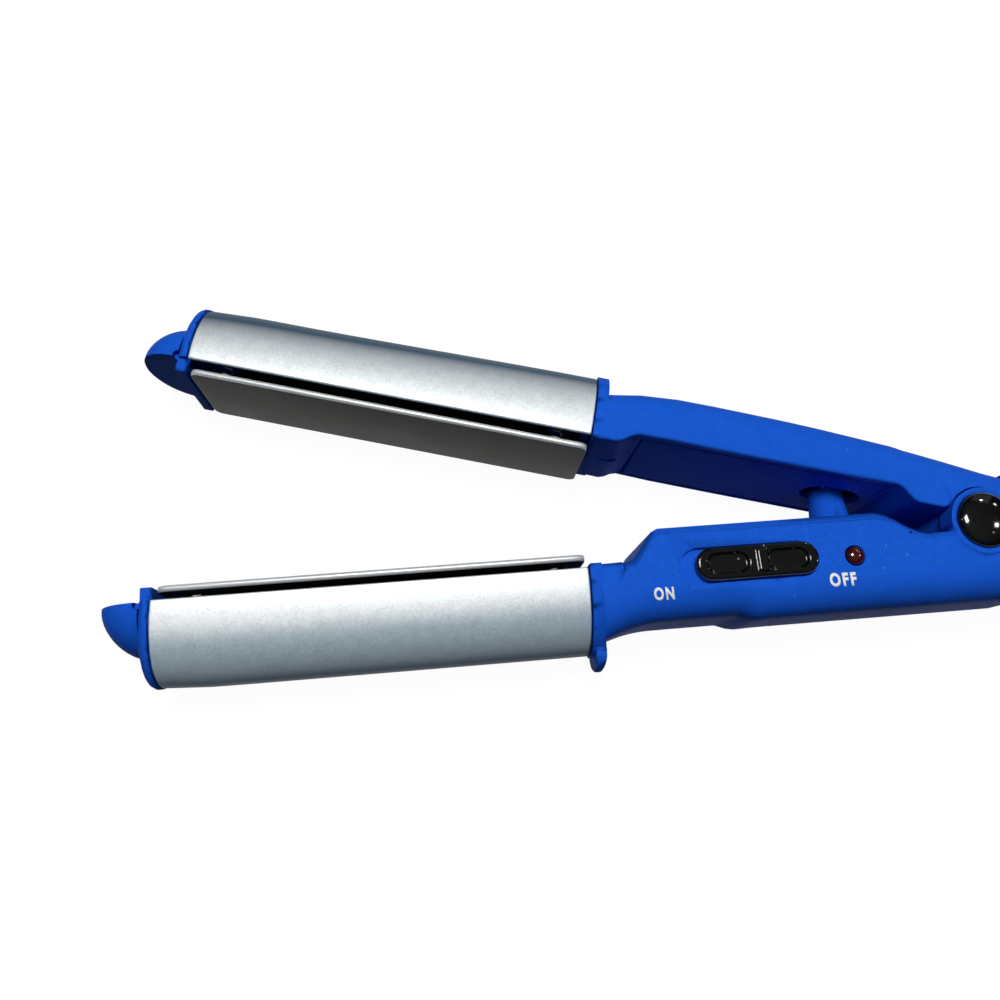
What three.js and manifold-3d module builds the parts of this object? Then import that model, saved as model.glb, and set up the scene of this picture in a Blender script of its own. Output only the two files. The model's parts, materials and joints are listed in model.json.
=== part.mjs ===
// A mini hair straightener: two clam arms on a hinge, each with a moulded handle, an aluminium
// barrel shell and a heated plate that floats on coil springs. Millimetres, +Z up.
//
// The straightener lies open on its flat side. The origin is on the hinge axis, in the plane of
// that side. The tips point along -X, and the upper arm opens toward +Y.
//
// Both arms are modelled in one arm frame: x runs along the arm, y is the distance outward from
// the closing plane where the plates meet, and z is the distance from the arm's middle plane.
// The lower arm is that frame mirrored, the upper arm is that frame turned about the hinge.

import * as THREE from "three";
import { mergeVertices } from "three/addons/utils/BufferGeometryUtils.js";
import Module from "manifold-3d";

const library = await Module();
library.setup();

// Arms and hinge
const openAngle = THREE.MathUtils.degToRad(15.3);
const handleHalfWidth = 12;
const neckHalfWidth = 10.7;
const handleWall = 1.8;
const shoulderRadius = 6;
const moulding = 0.25; // clearance between pieces that are fitted together
const running = 0.1; // radial clearance of the hinge pin in the knuckle
const cheekThickness = 3.3;
const cheekRadius = 5.75;
const cheekGap = 0.3; // around the cheek discs, and beside the knuckle
const knuckleRadius = 5.4;
const pinRadius = 1.6;
const pinHeadRadius = 3.1;
const pinHeadThickness = 1;
const bossRise = 0.5; // the near cheek stands this far out of the handle's side
const capRadius = 4.72;
const capHeight = 1.25;

// Barrels
const plateLength = 70;
const plateWidth = 19.3;
const plateThickness = 1.1;
const plateRear = -68.05;
const plateFace = 0.15; // half of the gap that is left between the closed plates
const plateFloat = 0.6;
const plateEndGap = 0.4;
const legSpacing = 8.6; // outside width over the plate's two legs
const legThickness = 1;
const legDepth = 3.8;
const legEndInset = 3; // the legs stop this far inside the plate's ends
const shellHalfWidth = 10.55;
const shellDepth = 13.4;
const shellThickness = 1;
const shellRim = 2.8;
const carrierWall = 1.5;
const carrierRim = 3.3;
const deckRoom = 1.6; // from the pressed plate's legs to the deck
const deckThickness = 1.2;
const ringThickness = 1.6;
const ringLip = 0.15;
const ringTop = 0.25;
const noseLength = 8.9;
const noseInset = 0.75; // the nose stands this far inside the shell's outline at its sides
const noseDepth = 8.6;
const nosePower = 1.75;
const plugRadius = 2.4;

// Handles
const collarThickness = 1.8;
const collarLip = 0.4;
const platformLevel = 2.05;
const partingRise = 3.2; // the lower handle crosses the closing plane by this much
const partingGap = 0.45;
const coverThickness = 1.3;
const lowerCrownLevel = 12.08;
const upperCrownLevel = 13.33;
const upperRearRadius = 13;
const tailEnd = 22;
const tailHalfWidth = 7.6;
const footReach = 2.85; // the lower collar's foot stands this far out of the barrel
const footHalfWidth = 4.5;
const footHeel = 0.55; // the foot is this much thicker than the collar, toward the hinge
const ridgeHeight = 0.1;

// Return spring and its post
const postX = -21;
const postHeight = 7.1;
const postTopRadius = 2.9;
const postBaseRadius = 3.9;
const springPocketRadius = 1.9;
const springPocketMouth = 2.4; // radius of the pocket's flared mouth
const springPocketFloor = 6; // outward distance of the pocket's floor from the closing plane
const returnSpringRadius = 1.15;
const returnSpringWire = 0.55;
const returnSpringCurls = 14;

// Plate springs
const plateSpringRadius = 0.95;
const plateSpringWire = 0.4;
const plateSpringCurls = 3;
const plateSpringInset = 5.5; // from the plate's ends
const plateSpringDepth = 4.4;
const springPocketWall = 0.55;

// Switch, lamp and cord inlet
const switchX = -41.2;
const switchLevel = 4.03;
const switchTravel = 2.2;
const knobLength = 20.7;
const knobWidth = 5.5;
const knobGap = 0.3;
const recessDepth = 1;
const knobThickness = 1.7;
const stemLength = 3;
const stemWidth = 1.8;
const stemReach = 2.4; // the stem's reach into the switch body
const switchBodyLength = 17;
const boardLevel = 4.6;
const boardThickness = 1.2;
const lampX = -23.3;
const lampLevel = 4.27;
const lensRadius = 1.5;
const inletRadius = 3.3;
const glandRadius = 4.7;
const glandLength = 3;
const screwRadius = 0.9;
const screwHeadRadius = 1.8;

// Places along the arm that follow from the sizes above
const plateTip = plateRear - plateLength;
const collarFront = plateRear + plateEndGap;
const collarRear = collarFront + collarThickness;
const ringInner = plateTip - plateEndGap;
const ringOuter = ringInner - ringThickness;
const upperParting = partingRise + partingGap;
const noseHalfWidth = shellHalfWidth - noseInset;
const beyond = 200; // further out than any piece, for blocks that cut everything on one side
const slopeStart = collarRear + 4.6;
const slopeEnd = slopeStart + 5.5;
const upperSlopeStart = collarRear + 2.5;
const upperSlopeEnd = collarRear + 5.9;
const upperDropStart = -14.8;
const upperDropEnd = -10.9;
const upperHingeLevel = 1.12; // the upper side walls end this far above the closing plane there
const humpEndStart = -18.4;
const humpEndEnd = -8.9;
const cheekLevel = 1.2; // the lower side walls end this far under the closing plane at the hinge
const tailFrontRadius = upperRearRadius + 0.4;
const cheekInner = handleHalfWidth - cheekThickness;
const knuckleHalfWidth = cheekInner - cheekGap;
const plateUnder = plateFace + plateThickness;
const deckLevel = plateUnder + legDepth + plateFloat + deckRoom;
const plateWellRadius = plateSpringRadius + plateSpringWire / 2 + moulding;
const plateSpringSide = legSpacing / 2 + moulding + springPocketWall + plateWellRadius;

const black = { color: 0x0b0c0e, roughness: 0.18, metalness: 0 };
const bluePlastic = { color: 0x1646c8, roughness: 0.5, metalness: 0 };
const satinAluminium = { color: 0xbfc8ca, roughness: 0.5, metalness: 0.9 };
const plateMetal = { color: 0x8f9493, roughness: 0.35, metalness: 0.9 };
const steel = { color: 0xa9adb0, roughness: 0.3, metalness: 1 };
const ceramic = { color: 0xe8e4da, roughness: 0.7, metalness: 0 };
const boardGreen = { color: 0x2c6b3f, roughness: 0.6, metalness: 0 };
const redLens = { color: 0x5a1212, roughness: 0.15, metalness: 0 };
const clearLamp = { color: 0xd9b0a8, roughness: 0.2, metalness: 0 };
const darkPlastic = { color: 0x22252a, roughness: 0.6, metalness: 0 };

// A closed geometry as a solid that can be joined and cut.
function solid(geometry) {
  const bare = geometry.clone();
  bare.deleteAttribute("normal");
  bare.deleteAttribute("uv");
  const merged = mergeVertices(bare, 1e-5);
  return new library.Manifold(
    new library.Mesh({
      numProp: 3,
      vertProperties: new Float32Array(merged.attributes.position.array),
      triVerts: new Uint32Array(merged.index.array),
    }),
  );
}

function join(first, ...others) {
  return others.reduce((whole, piece) => whole.add(piece), first);
}

function cut(first, ...others) {
  return others.reduce((whole, piece) => whole.subtract(piece), first);
}

function piece(name, shape, look) {
  const { vertProperties, triVerts } = shape.getMesh();
  const geometry = new THREE.BufferGeometry();
  geometry.setAttribute("position", new THREE.BufferAttribute(new Float32Array(vertProperties), 3));
  geometry.setIndex(new THREE.BufferAttribute(new Uint32Array(triVerts), 1));
  geometry.computeVertexNormals();
  const mesh = new THREE.Mesh(geometry, new THREE.MeshStandardMaterial({ ...look, flatShading: true }));
  mesh.name = name;
  return mesh;
}

// An outline pulled along its own z axis. Points of the outline that fall together are made one.
function pulled(outline, depth, curveSegments) {
  const corners = outline.getPoints(curveSegments);
  const apart = corners.filter((p, i) => p.distanceTo(corners.at(i - 1)) > 1e-4);
  return new THREE.ExtrudeGeometry(new THREE.Shape(apart), { depth, bevelEnabled: false });
}

// An outline in x and y, pulled along z.
function alongZ(outline, z0, z1, curveSegments = 12) {
  return solid(pulled(outline, z1 - z0, curveSegments).translate(0, 0, z0));
}

// An outline in z and y, pulled along x. The outlines used here are alike on both sides.
function alongX(outline, x0, x1, curveSegments = 12) {
  return solid(pulled(outline, x1 - x0, curveSegments).rotateY(Math.PI / 2).translate(x0, 0, 0));
}

// An outline in x and z, pulled along y. The outlines used here are alike on both sides.
function alongY(outline, y0, y1, curveSegments = 12) {
  return solid(pulled(outline, y1 - y0, curveSegments).rotateX(-Math.PI / 2).translate(0, y0, 0));
}

function block(x0, x1, y0, y1, z0, z1) {
  const geometry = new THREE.BoxGeometry(x1 - x0, y1 - y0, z1 - z0);
  return solid(geometry.translate((x0 + x1) / 2, (y0 + y1) / 2, (z0 + z1) / 2));
}

function rodAlongZ(x, y, radius, z0, z1, sides = 32) {
  const geometry = new THREE.CylinderGeometry(radius, radius, z1 - z0, sides).rotateX(Math.PI / 2);
  return solid(geometry.translate(x, y, (z0 + z1) / 2));
}

function rodAlongY(x, z, radius, y0, y1, sides = 20, endRadius = radius) {
  const geometry = new THREE.CylinderGeometry(endRadius, radius, y1 - y0, sides);
  return solid(geometry.translate(x, (y0 + y1) / 2, z));
}

function rodAlongX(y, z, radius, x0, x1, sides = 24) {
  const geometry = new THREE.CylinderGeometry(radius, radius, x1 - x0, sides).rotateZ(Math.PI / 2);
  return solid(geometry.translate((x0 + x1) / 2, y, z));
}

// A slot outline with round ends, its length along the first axis.
function stadium(centreX, centreY, length, width) {
  const radius = width / 2;
  const reach = length / 2 - radius;
  const outline = new THREE.Shape();
  outline.absarc(centreX + reach, centreY, radius, -Math.PI / 2, Math.PI / 2, false);
  outline.absarc(centreX - reach, centreY, radius, Math.PI / 2, (3 * Math.PI) / 2, false);
  return outline;
}

// A smooth step from one value to another between two places.
function blend(x, from, to, before, after) {
  const t = THREE.MathUtils.clamp((x - from) / (to - from), 0, 1);
  return before + (after - before) * t * t * (3 - 2 * t);
}

function spread(from, to, count) {
  return Array.from({ length: count }, (_, i) => from + ((to - from) * i) / count);
}

// A skin through equal sections at several places along x, closed at both ends.
function loft(places, sectionAt) {
  const sections = places.map(sectionAt);
  const around = sections[0].length;
  const points = sections.flatMap((section, i) => section.flatMap(([z, y]) => [places[i], y, z]));
  const faces = [];
  for (let i = 0; i + 1 < places.length; i += 1) {
    for (let j = 0; j < around; j += 1) {
      const a = i * around + j;
      const b = i * around + ((j + 1) % around);
      faces.push(a, a + around, b, b, a + around, b + around);
    }
  }
  const last = (places.length - 1) * around;
  for (let j = 1; j + 1 < around; j += 1) {
    faces.push(0, j, j + 1);
    faces.push(last, last + j + 1, last + j);
  }
  const geometry = new THREE.BufferGeometry();
  geometry.setAttribute("position", new THREE.Float32BufferAttribute(points, 3));
  geometry.setIndex(faces);
  return solid(geometry);
}

// Handle profiles: the inner edge, the crown, the half width and the inner chamfer along x.
const ridgePlace = -40;
const ridgeFlank = 3.5;
const ridgeBack = 4.5;
const gripRise = 0.9; // the grip stands this much higher behind the ridge than before it
const tailTaperStart = 9;

function lowerInner(x) {
  if (x < slopeEnd) return blend(x, slopeStart, slopeEnd, platformLevel, -partingRise);
  if (x < humpEndEnd) return blend(x, humpEndStart, humpEndEnd, -partingRise, cheekLevel);
  const tailTop = -9.6;
  const tailEndTop = -3.6;
  if (x < cheekRadius + 3) return blend(x, cheekRadius, cheekRadius + 3, cheekLevel, tailTop);
  return blend(x, cheekRadius + 3, tailEnd + 4, tailTop, tailEndTop);
}

function lowerCrown(x) {
  const flareLength = 11;
  const flare = 2.3 * Math.max(0, 1 - (x - collarRear) / flareLength) ** 2;
  const ridgeUp = blend(x, ridgePlace - ridgeFlank, ridgePlace, 0, gripRise + ridgeHeight);
  const ridgeDown = blend(x, ridgePlace, ridgePlace + ridgeBack, 0, ridgeHeight);
  const tail = blend(x, tailTaperStart, tailEnd + 2, 0, 5.5);
  return lowerCrownLevel + flare + ridgeUp - ridgeDown - tail;
}

function upperInner(x) {
  if (x < upperSlopeEnd) return blend(x, upperSlopeStart, upperSlopeEnd, platformLevel, upperParting);
  const dropped = blend(x, upperDropStart, upperDropEnd, upperParting, upperHingeLevel);
  return Math.max(dropped, x > 0 ? x * Math.tan(openAngle + 0.01) : dropped);
}

function upperCrown(x) {
  const crest = -39;
  const towardTip = 1.37 * Math.max(0, (crest - x) / 26.6) ** 2.7;
  const towardHinge = 3 * Math.max(0, (x - crest) / 42) ** 1.7;
  return upperCrownLevel - towardTip - towardHinge;
}

function flankWidth(x) {
  return blend(x, collarRear, collarRear + 10, neckHalfWidth, handleHalfWidth);
}

const lowerHandle = {
  inner: lowerInner,
  crown: lowerCrown,
  halfWidth: (x) => flankWidth(x) - blend(x, tailTaperStart, tailEnd, 0, handleHalfWidth - tailHalfWidth),
  chamfer: (x) => blend(x, tailTaperStart, tailEnd, 1.2, 3),
  places: [
    ...spread(collarRear, slopeStart, 2),
    ...spread(slopeStart, slopeEnd, 5),
    ...spread(slopeEnd, ridgePlace - ridgeFlank, 3),
    ...spread(ridgePlace - ridgeFlank, ridgePlace, 4),
    ...spread(ridgePlace, ridgePlace + ridgeBack, 3),
    ...spread(ridgePlace + ridgeBack, humpEndStart, 3),
    ...spread(humpEndStart, humpEndEnd, 5),
    ...spread(humpEndEnd, cheekRadius, 2),
    ...spread(cheekRadius, cheekRadius + 3, 3),
    ...spread(cheekRadius + 3, tailEnd, 4),
    tailEnd,
  ],
};

const upperHandle = {
  inner: upperInner,
  crown: upperCrown,
  halfWidth: flankWidth,
  chamfer: () => 0.5,
  places: [
    ...spread(collarRear, upperSlopeStart, 2),
    ...spread(upperSlopeStart, upperSlopeEnd, 3),
    ...spread(upperSlopeEnd, upperDropStart, 7),
    ...spread(upperDropStart, upperDropEnd, 4),
    ...spread(upperDropEnd, upperRearRadius + 1, 6),
    upperRearRadius + 1,
  ],
};

// One handle's solid between two places, drawn in by an inset on its sides and crown.
// innerInset moves the inner face outward, and a negative one runs past it.
function handleBody(handle, inset, innerInset, from, to) {
  const places = [from, ...handle.places.filter((x) => x > from + 0.2 && x < to - 0.2), to];
  const arcSteps = 5;
  return loft(places, (x) => {
    const halfWidth = handle.halfWidth(x) - inset;
    const crown = handle.crown(x) - inset;
    const inner = handle.inner(x) + innerInset;
    const chamfer = Math.max(handle.chamfer(x) - inset, 0.2);
    const radius = Math.min(shoulderRadius - inset, halfWidth - 0.5, (crown - inner - chamfer) * 0.7);
    const near = [[halfWidth - chamfer, inner], [halfWidth, inner + chamfer]];
    for (let i = 0; i <= arcSteps; i += 1) {
      const angle = (i / arcSteps) * (Math.PI / 2);
      const z = halfWidth - radius + radius * Math.cos(angle);
      near.push([z, crown - radius + radius * Math.sin(angle)]);
    }
    const far = near.map(([z, y]) => [-z, y]).reverse();
    return [...near, ...far];
  });
}

// The space between two levels that both follow a handle's inner face.
function innerBand(handle, from, to, above, below) {
  const places = [from, ...handle.places.filter((x) => x > from + 0.2 && x < to - 0.2), to];
  const upper = places.map((x) => new THREE.Vector2(x, handle.inner(x) + above));
  const lower = places.map((x) => new THREE.Vector2(x, handle.inner(x) + below)).reverse();
  const reach = handleHalfWidth + 2;
  return alongZ(new THREE.Shape([...upper, ...lower]), -reach, reach);
}

// The barrel's section, drawn in or out from the shell's outside, with its top at a level.
function barrelOutline(offset, top) {
  const outline = new THREE.Shape();
  outline.moveTo(-shellHalfWidth - offset, top);
  outline.lineTo(shellHalfWidth + offset, top);
  outline.lineTo(shellHalfWidth + offset, shellRim);
  outline.absellipse(0, shellRim, shellHalfWidth + offset, shellDepth + offset, 0, Math.PI, false);
  return outline;
}

// The carrier's rear spigot, which fits inside the neck of a handle.
const spigotTop = platformLevel + handleWall + moulding;
const spigotHalfWidth = neckHalfWidth - handleWall - moulding - 0.2;
const spigotDepth = 9.7 - spigotTop;
const spigotReach = 2.7; // past the collar, into the neck

function spigotOutline(offset) {
  const halfWidth = spigotHalfWidth + offset;
  const top = spigotTop - offset;
  const shoulder = Math.max(top, spigotTop);
  const floor = spigotTop + spigotDepth + offset;
  const outline = new THREE.Shape();
  outline.moveTo(-halfWidth, top);
  outline.lineTo(halfWidth, top);
  outline.lineTo(halfWidth, shoulder);
  outline.absellipse(0, shoulder, halfWidth, floor - shoulder, 0, Math.PI, false);
  return outline;
}

function collar() {
  const plate = alongX(barrelOutline(collarLip, platformLevel), collarFront, collarRear + 0.1, 20);
  return cut(plate, alongX(spigotOutline(moulding), collarFront - 1, collarRear + 1));
}

// The lower collar's foot: it keeps the hot barrel off the table when the iron lies on its back.
function foot() {
  const crown = shellRim + shellDepth;
  const toe = crown + footReach;
  const root = crown - 4.5;
  const front = collarFront + 0.6;
  const rear = collarRear + footHeel;
  const side = new THREE.Shape();
  side.moveTo(front, root);
  side.lineTo(rear, root);
  side.lineTo(rear, crown - 0.5);
  side.quadraticCurveTo(rear - 0.1, toe - 0.9, rear - 0.8, toe);
  side.lineTo(front + 0.3, toe);
  side.quadraticCurveTo(front + 0.1, toe - 0.4, front, toe - 0.9);
  const outline = new THREE.Shape();
  outline.moveTo(-footHalfWidth, root);
  outline.lineTo(footHalfWidth, root);
  outline.lineTo(footHalfWidth, crown);
  outline.absellipse(0, crown, footHalfWidth, footReach, 0, Math.PI, false);
  const blank = alongZ(side, -footHalfWidth, footHalfWidth, 4);
  const inside = handleBody(lowerHandle, handleWall, handleWall, collarRear, collarRear + 3);
  const hollow = join(inside, alongX(spigotOutline(moulding), collarFront - 1, collarRear + 1));
  return cut(blank.intersect(alongX(outline, front - 1, rear + 1, 9)), hollow);
}

// Everything within a radius of the hinge axis, across the arm.
function aroundHinge(radius, z0 = -handleHalfWidth - 2, z1 = handleHalfWidth + 2, sides = 48) {
  return rodAlongZ(0, 0, radius, z0, z1, sides);
}

// The lower cover's two screws, beside the circuit board.
const coverScrews = [-51, -32.5].map((x) => ({ x, z: -3.6 }));
const screwLength = 7;
const screwHeadHeight = 1;

function screwBosses() {
  return coverScrews.map(({ x, z }) => {
    const floor = lowerCrown(x) - handleWall / 2;
    const boss = rodAlongY(x, z, screwHeadRadius + 0.6, coverThickness + 1, floor, 16);
    return cut(boss, rodAlongY(x, z, screwRadius + running, 0, screwLength, 16));
  });
}

function boardStandOffs() {
  const top = handleHalfWidth - handleWall + 0.2;
  const base = boardLevel + boardThickness + moulding;
  const fromSwitch = switchBodyLength / 2 + 2.6;
  return [
    rodAlongZ(switchX - fromSwitch, switchLevel, 1.2, base, top, 12),
    rodAlongZ(lampX - 3.8, lampLevel + 3.6, 1.2, base, top, 12),
  ];
}

const knobOffX = switchX + switchTravel / 2; // the knob rests at its hinge-side end, which is OFF
const recessLength = knobLength + switchTravel + 2 * knobGap;
const recessWidth = knobWidth + 2 * knobGap;
const recessFloor = handleHalfWidth - recessDepth;

function switchCuts() {
  const recess = alongZ(
    stadium(switchX, switchLevel, recessLength, recessWidth),
    recessFloor,
    handleHalfWidth + 1,
    10,
  );
  const slotLength = stemLength + switchTravel + 2 * knobGap;
  const slot = alongZ(
    stadium(switchX, switchLevel, slotLength, stemWidth + 2 * knobGap),
    handleHalfWidth - handleWall - 1,
    handleHalfWidth,
    4,
  );
  return [recess, slot];
}

function lensHole() {
  const bevel = 0.5;
  const sides = 20;
  const hole = rodAlongZ(lampX, lampLevel, lensRadius + moulding, cheekInner, handleHalfWidth + 1, sides);
  const mouth = new THREE.CylinderGeometry(lensRadius + moulding + bevel, lensRadius, 2 * bevel, sides)
    .rotateX(Math.PI / 2)
    .translate(lampX, lampLevel, handleHalfWidth);
  return [hole, solid(mouth)];
}

// The two cheek discs that carry the pin, with the recess for pin head and cap on the near side.
function cheeks() {
  const near = rodAlongZ(0, 0, cheekRadius, cheekInner, handleHalfWidth + bossRise);
  const far = rodAlongZ(0, 0, cheekRadius, -handleHalfWidth, -cheekInner);
  return join(near, far);
}

const pinHeadSeat = cheekInner + 1.6;
const pinEnd = -handleHalfWidth + 1.5;
const capSeat = handleHalfWidth - 0.2;

function hingeBores() {
  return [
    aroundHinge(pinRadius + running, pinEnd - moulding, handleHalfWidth + 1, 24),
    aroundHinge(pinHeadRadius + moulding, pinHeadSeat - moulding, handleHalfWidth + 1, 32),
    aroundHinge(capRadius + 0.17, capSeat, handleHalfWidth + 1, 40),
  ];
}

function lowerHousing() {
  const reach = handleHalfWidth + 2;
  const outside = handleBody(lowerHandle, 0, 0, collarRear, tailEnd);
  const wellTop = block(-beyond, beyond, -beyond, cheekLevel, -reach, reach);
  const hingeWell = aroundHinge(tailFrontRadius, -reach, reach, 56).intersect(wellTop);
  const coverZone = innerBand(lowerHandle, slopeStart - 0.8, humpEndEnd, -3, coverThickness + moulding);
  const body = cut(outside, coverZone, hingeWell);
  const closedCavity = handleBody(lowerHandle, handleWall, handleWall, collarRear - 1, tailEnd - 2);
  const wallBehindWell = aroundHinge(tailFrontRadius + handleWall, -reach, reach, 48).intersect(wellTop);
  const cavity = cut(closedCavity, wallBehindWell);
  const openTop = handleBody(lowerHandle, handleWall, -4, slopeStart + 1, humpEndEnd - 0.01);
  const well = block(-cheekRadius - 5, tailFrontRadius, -3, cheekLevel + 4, -cheekInner, cheekInner)
    .intersect(aroundHinge(tailFrontRadius));
  const hollow = cut(body, cavity, openTop, well);
  const inlet = rodAlongX(inletLevel, 0, glandRadius - 0.9, tailEnd - 4, tailEnd + 1);
  const shell = join(hollow, collar(), foot(), cheeks(), ...screwBosses(), ...boardStandOffs());
  const kept = join(handleBody(lowerHandle, 0, 0, collarRear, tailEnd), collar(), foot(), cheeks());
  return cut(shell.intersect(kept), ...switchCuts(), ...lensHole(), ...hingeBores(), inlet);
}

const inletLevel = 2;

// The lower handle's inner cover with the spring post and its pocket.
function lowerCover() {
  const from = slopeStart - 0.8 + moulding;
  const to = humpEndEnd - moulding;
  const skin = handleBody(lowerHandle, 0, 0, from, to)
    .intersect(innerBand(lowerHandle, from, to, -3, coverThickness));
  const lipDepth = 1.5;
  const lipThickness = 1.1;
  const inset = handleWall + moulding;
  const lipTop = coverThickness - 0.4;
  const lipZone = innerBand(lowerHandle, slopeEnd, humpEndStart, lipTop, coverThickness + lipDepth);
  const lip = cut(
    handleBody(lowerHandle, inset, 0, slopeEnd, humpEndStart),
    handleBody(lowerHandle, inset + lipThickness, -1, slopeEnd + 1, humpEndStart - 1),
  ).intersect(lipZone);
  const top = -partingRise - postHeight;
  const postFoot = -1; // inside the cover's skin, also where the hump falls away
  const post = rodAlongY(postX, 0, postTopRadius, top, postFoot, 28, postBaseRadius);
  const sleeve = rodAlongY(postX, 0, springPocketRadius + 1, -partingRise + 0.4, springPocketFloor + 1, 18);
  const flare = 4.5;
  const bore = join(
    rodAlongY(postX, 0, springPocketRadius, top - 1, springPocketFloor, 18),
    rodAlongY(postX, 0, springPocketMouth, top - 0.2, top + flare, 18, springPocketRadius),
  );
  const seats = coverScrews.map(({ x, z }) =>
    rodAlongY(x, z, screwHeadRadius + 0.6, -partingRise + 0.5, coverThickness + 1 - moulding, 16),
  );
  const holes = coverScrews.flatMap(({ x, z }) => [
    rodAlongY(x, z, screwRadius + running, -partingRise - 1, 4, 16),
    rodAlongY(x, z, screwHeadRadius + moulding, -partingRise - 1, screwHeadSeat, 20),
  ]);
  return cut(join(skin, lip, post, sleeve, ...seats), bore, ...holes);
}

const screwHeadSeat = -partingRise + screwHeadHeight + 0.3;

function coverScrew({ x, z }) {
  const under = screwHeadSeat - moulding;
  const head = rodAlongY(x, z, screwHeadRadius, under - screwHeadHeight, under, 20);
  const shank = rodAlongY(x, z, screwRadius, under - 0.1, screwLength - moulding, 12);
  const slotFloor = under - screwHeadHeight / 2;
  const reach = 1.3;
  const half = 0.25;
  const slot = block(x - reach, x + reach, screwHeadSeat - 2, slotFloor, z - half, z + half);
  const cross = block(x - half, x + half, screwHeadSeat - 2, slotFloor, z - reach, z + reach);
  return cut(join(head, shank), slot, cross);
}

// The post passes the upper cover in a slot, because it stands still while the cover turns.
const postTravel = (partingRise + postHeight) * Math.sin(openAngle) * 0.7;
const postHole = {
  x: postX - postTravel / 2,
  length: 2 * postBaseRadius + 0.8 + postTravel,
  width: 2 * postBaseRadius + 0.6,
};
const springSeatX = postX - 1.2;

function upperHousing() {
  const reach = handleHalfWidth + 2;
  const rear = upperRearRadius + 1;
  const beforeHinge = block(-beyond, 0, -beyond, beyond, -reach, reach);
  const rearRound = join(beforeHinge, aroundHinge(upperRearRadius, -reach, reach, 56));
  const outside = handleBody(upperHandle, 0, 0, collarRear, rear).intersect(rearRound);
  const rearInside = join(beforeHinge, aroundHinge(upperRearRadius - handleWall, -reach, reach, 48));
  const cavity = handleBody(upperHandle, handleWall, handleWall, collarRear - 1, rear - 0.5)
    .intersect(rearInside);
  const pocketFrom = upperCoverFrom - moulding;
  const coverPocket = handleBody(upperHandle, handleWall, -2, pocketFrom, upperCoverTo + moulding);
  const hollow = cut(outside, cavity, coverPocket);
  const web = block(-3.4, 3.4, 2, upperCrown(0) - 0.5, -knuckleHalfWidth, knuckleHalfWidth);
  const knuckle = aroundHinge(knuckleRadius, -knuckleHalfWidth, knuckleHalfWidth, 40);
  const sideNotches = [
    aroundHinge(cheekRadius + cheekGap, knuckleHalfWidth, reach, 48),
    aroundHinge(cheekRadius + cheekGap, -reach, -knuckleHalfWidth, 48),
  ];
  const ceiling = upperCrown(springSeatX) - handleWall;
  const seat = join(
    rodAlongY(springSeatX, 0, 2.3, ceiling - 0.5, ceiling + 0.5, 20),
    rodAlongY(springSeatX, 0, 0.55, ceiling - 1.4, ceiling, 12),
  );
  const shell = join(cut(hollow, ...sideNotches), collar(), web.intersect(outside), knuckle, seat);
  return cut(shell, aroundHinge(pinRadius + running, -reach, reach, 24));
}

const upperCoverFrom = collarRear + 7;
const upperCoverTo = -15.6;

// The upper handle's inner cover, let in flush between the side walls and held by its edge.
function upperCover() {
  const inset = handleWall + moulding;
  const slab = handleBody(upperHandle, inset, 0, upperCoverFrom, upperCoverTo)
    .intersect(innerBand(upperHandle, upperCoverFrom, upperCoverTo, -1, coverThickness));
  const rimTop = coverThickness - 0.3;
  const rimZone = innerBand(upperHandle, upperCoverFrom, upperCoverTo, rimTop, coverThickness + 1.6);
  const rim = cut(
    handleBody(upperHandle, inset, 0, upperCoverFrom, upperCoverTo),
    handleBody(upperHandle, inset + 1.1, -1, upperCoverFrom + 1, upperCoverTo - 1),
  ).intersect(rimZone);
  const hole = alongY(stadium(postHole.x, 0, postHole.length, postHole.width), 0, 12, 16);
  const rimGap = block(
    postHole.x - postHole.length / 2,
    postHole.x + postHole.length / 2,
    upperParting + coverThickness,
    12,
    -postHole.width / 2,
    postHole.width / 2,
  );
  return cut(join(slab, rim), hole, rimGap);
}

// The plastic carrier inside the barrel: a trough with a deck, the end ring, four spring pockets
// and the rear spigot.
function carrierInside(offset) {
  return barrelOutline(-shellThickness - moulding - offset, shellRim);
}

function plateSprings() {
  const near = plateTip + plateSpringInset;
  const far = plateRear - plateSpringInset;
  return [
    { x: near, z: plateSpringSide },
    { x: near, z: -plateSpringSide },
    { x: far, z: plateSpringSide },
    { x: far, z: -plateSpringSide },
  ];
}

const springPocketBottom = plateUnder + plateSpringDepth + moulding;

function barrelCarrier() {
  const rear = collarFront - moulding;
  const reach = shellHalfWidth + 2;
  const above = block(ringOuter - 1, rear + 20, -5, carrierRim, -reach, reach);
  const skin = alongX(carrierInside(0), ringInner - 0.5, rear, 12);
  const hollow = alongX(carrierInside(carrierWall), ringInner - 0.5, rear - carrierWall, 12);
  const deckSlab = block(ringInner - 0.5, rear, deckLevel, deckLevel + deckThickness, -reach, reach);
  const trough = cut(join(cut(skin, hollow), deckSlab.intersect(skin)), above);
  const pockets = plateSprings().map(({ x, z }) =>
    rodAlongY(x, z, plateWellRadius + springPocketWall, carrierRim, deckLevel + 0.5, 12).intersect(skin),
  );
  const spigot = alongX(spigotOutline(0), rear - 0.5, collarRear + spigotReach, 10);
  const boreFrom = rear - carrierWall - 1;
  const spigotBore = alongX(spigotOutline(-carrierWall), boreFrom, collarRear + spigotReach + 1, 10);
  const wells = plateSprings().map(({ x, z }) =>
    rodAlongY(x, z, plateWellRadius, 0, springPocketBottom, 12),
  );
  const whole = join(trough, ...pockets, spigot, endRing());
  const plugHole = rodAlongX(plugLevel, 0, plugRadius + moulding, ringOuter - 1, ringInner + 0.1);
  return cut(whole, spigotBore, plugHole, ...wells);
}

const plugLevel = 6;

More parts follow.
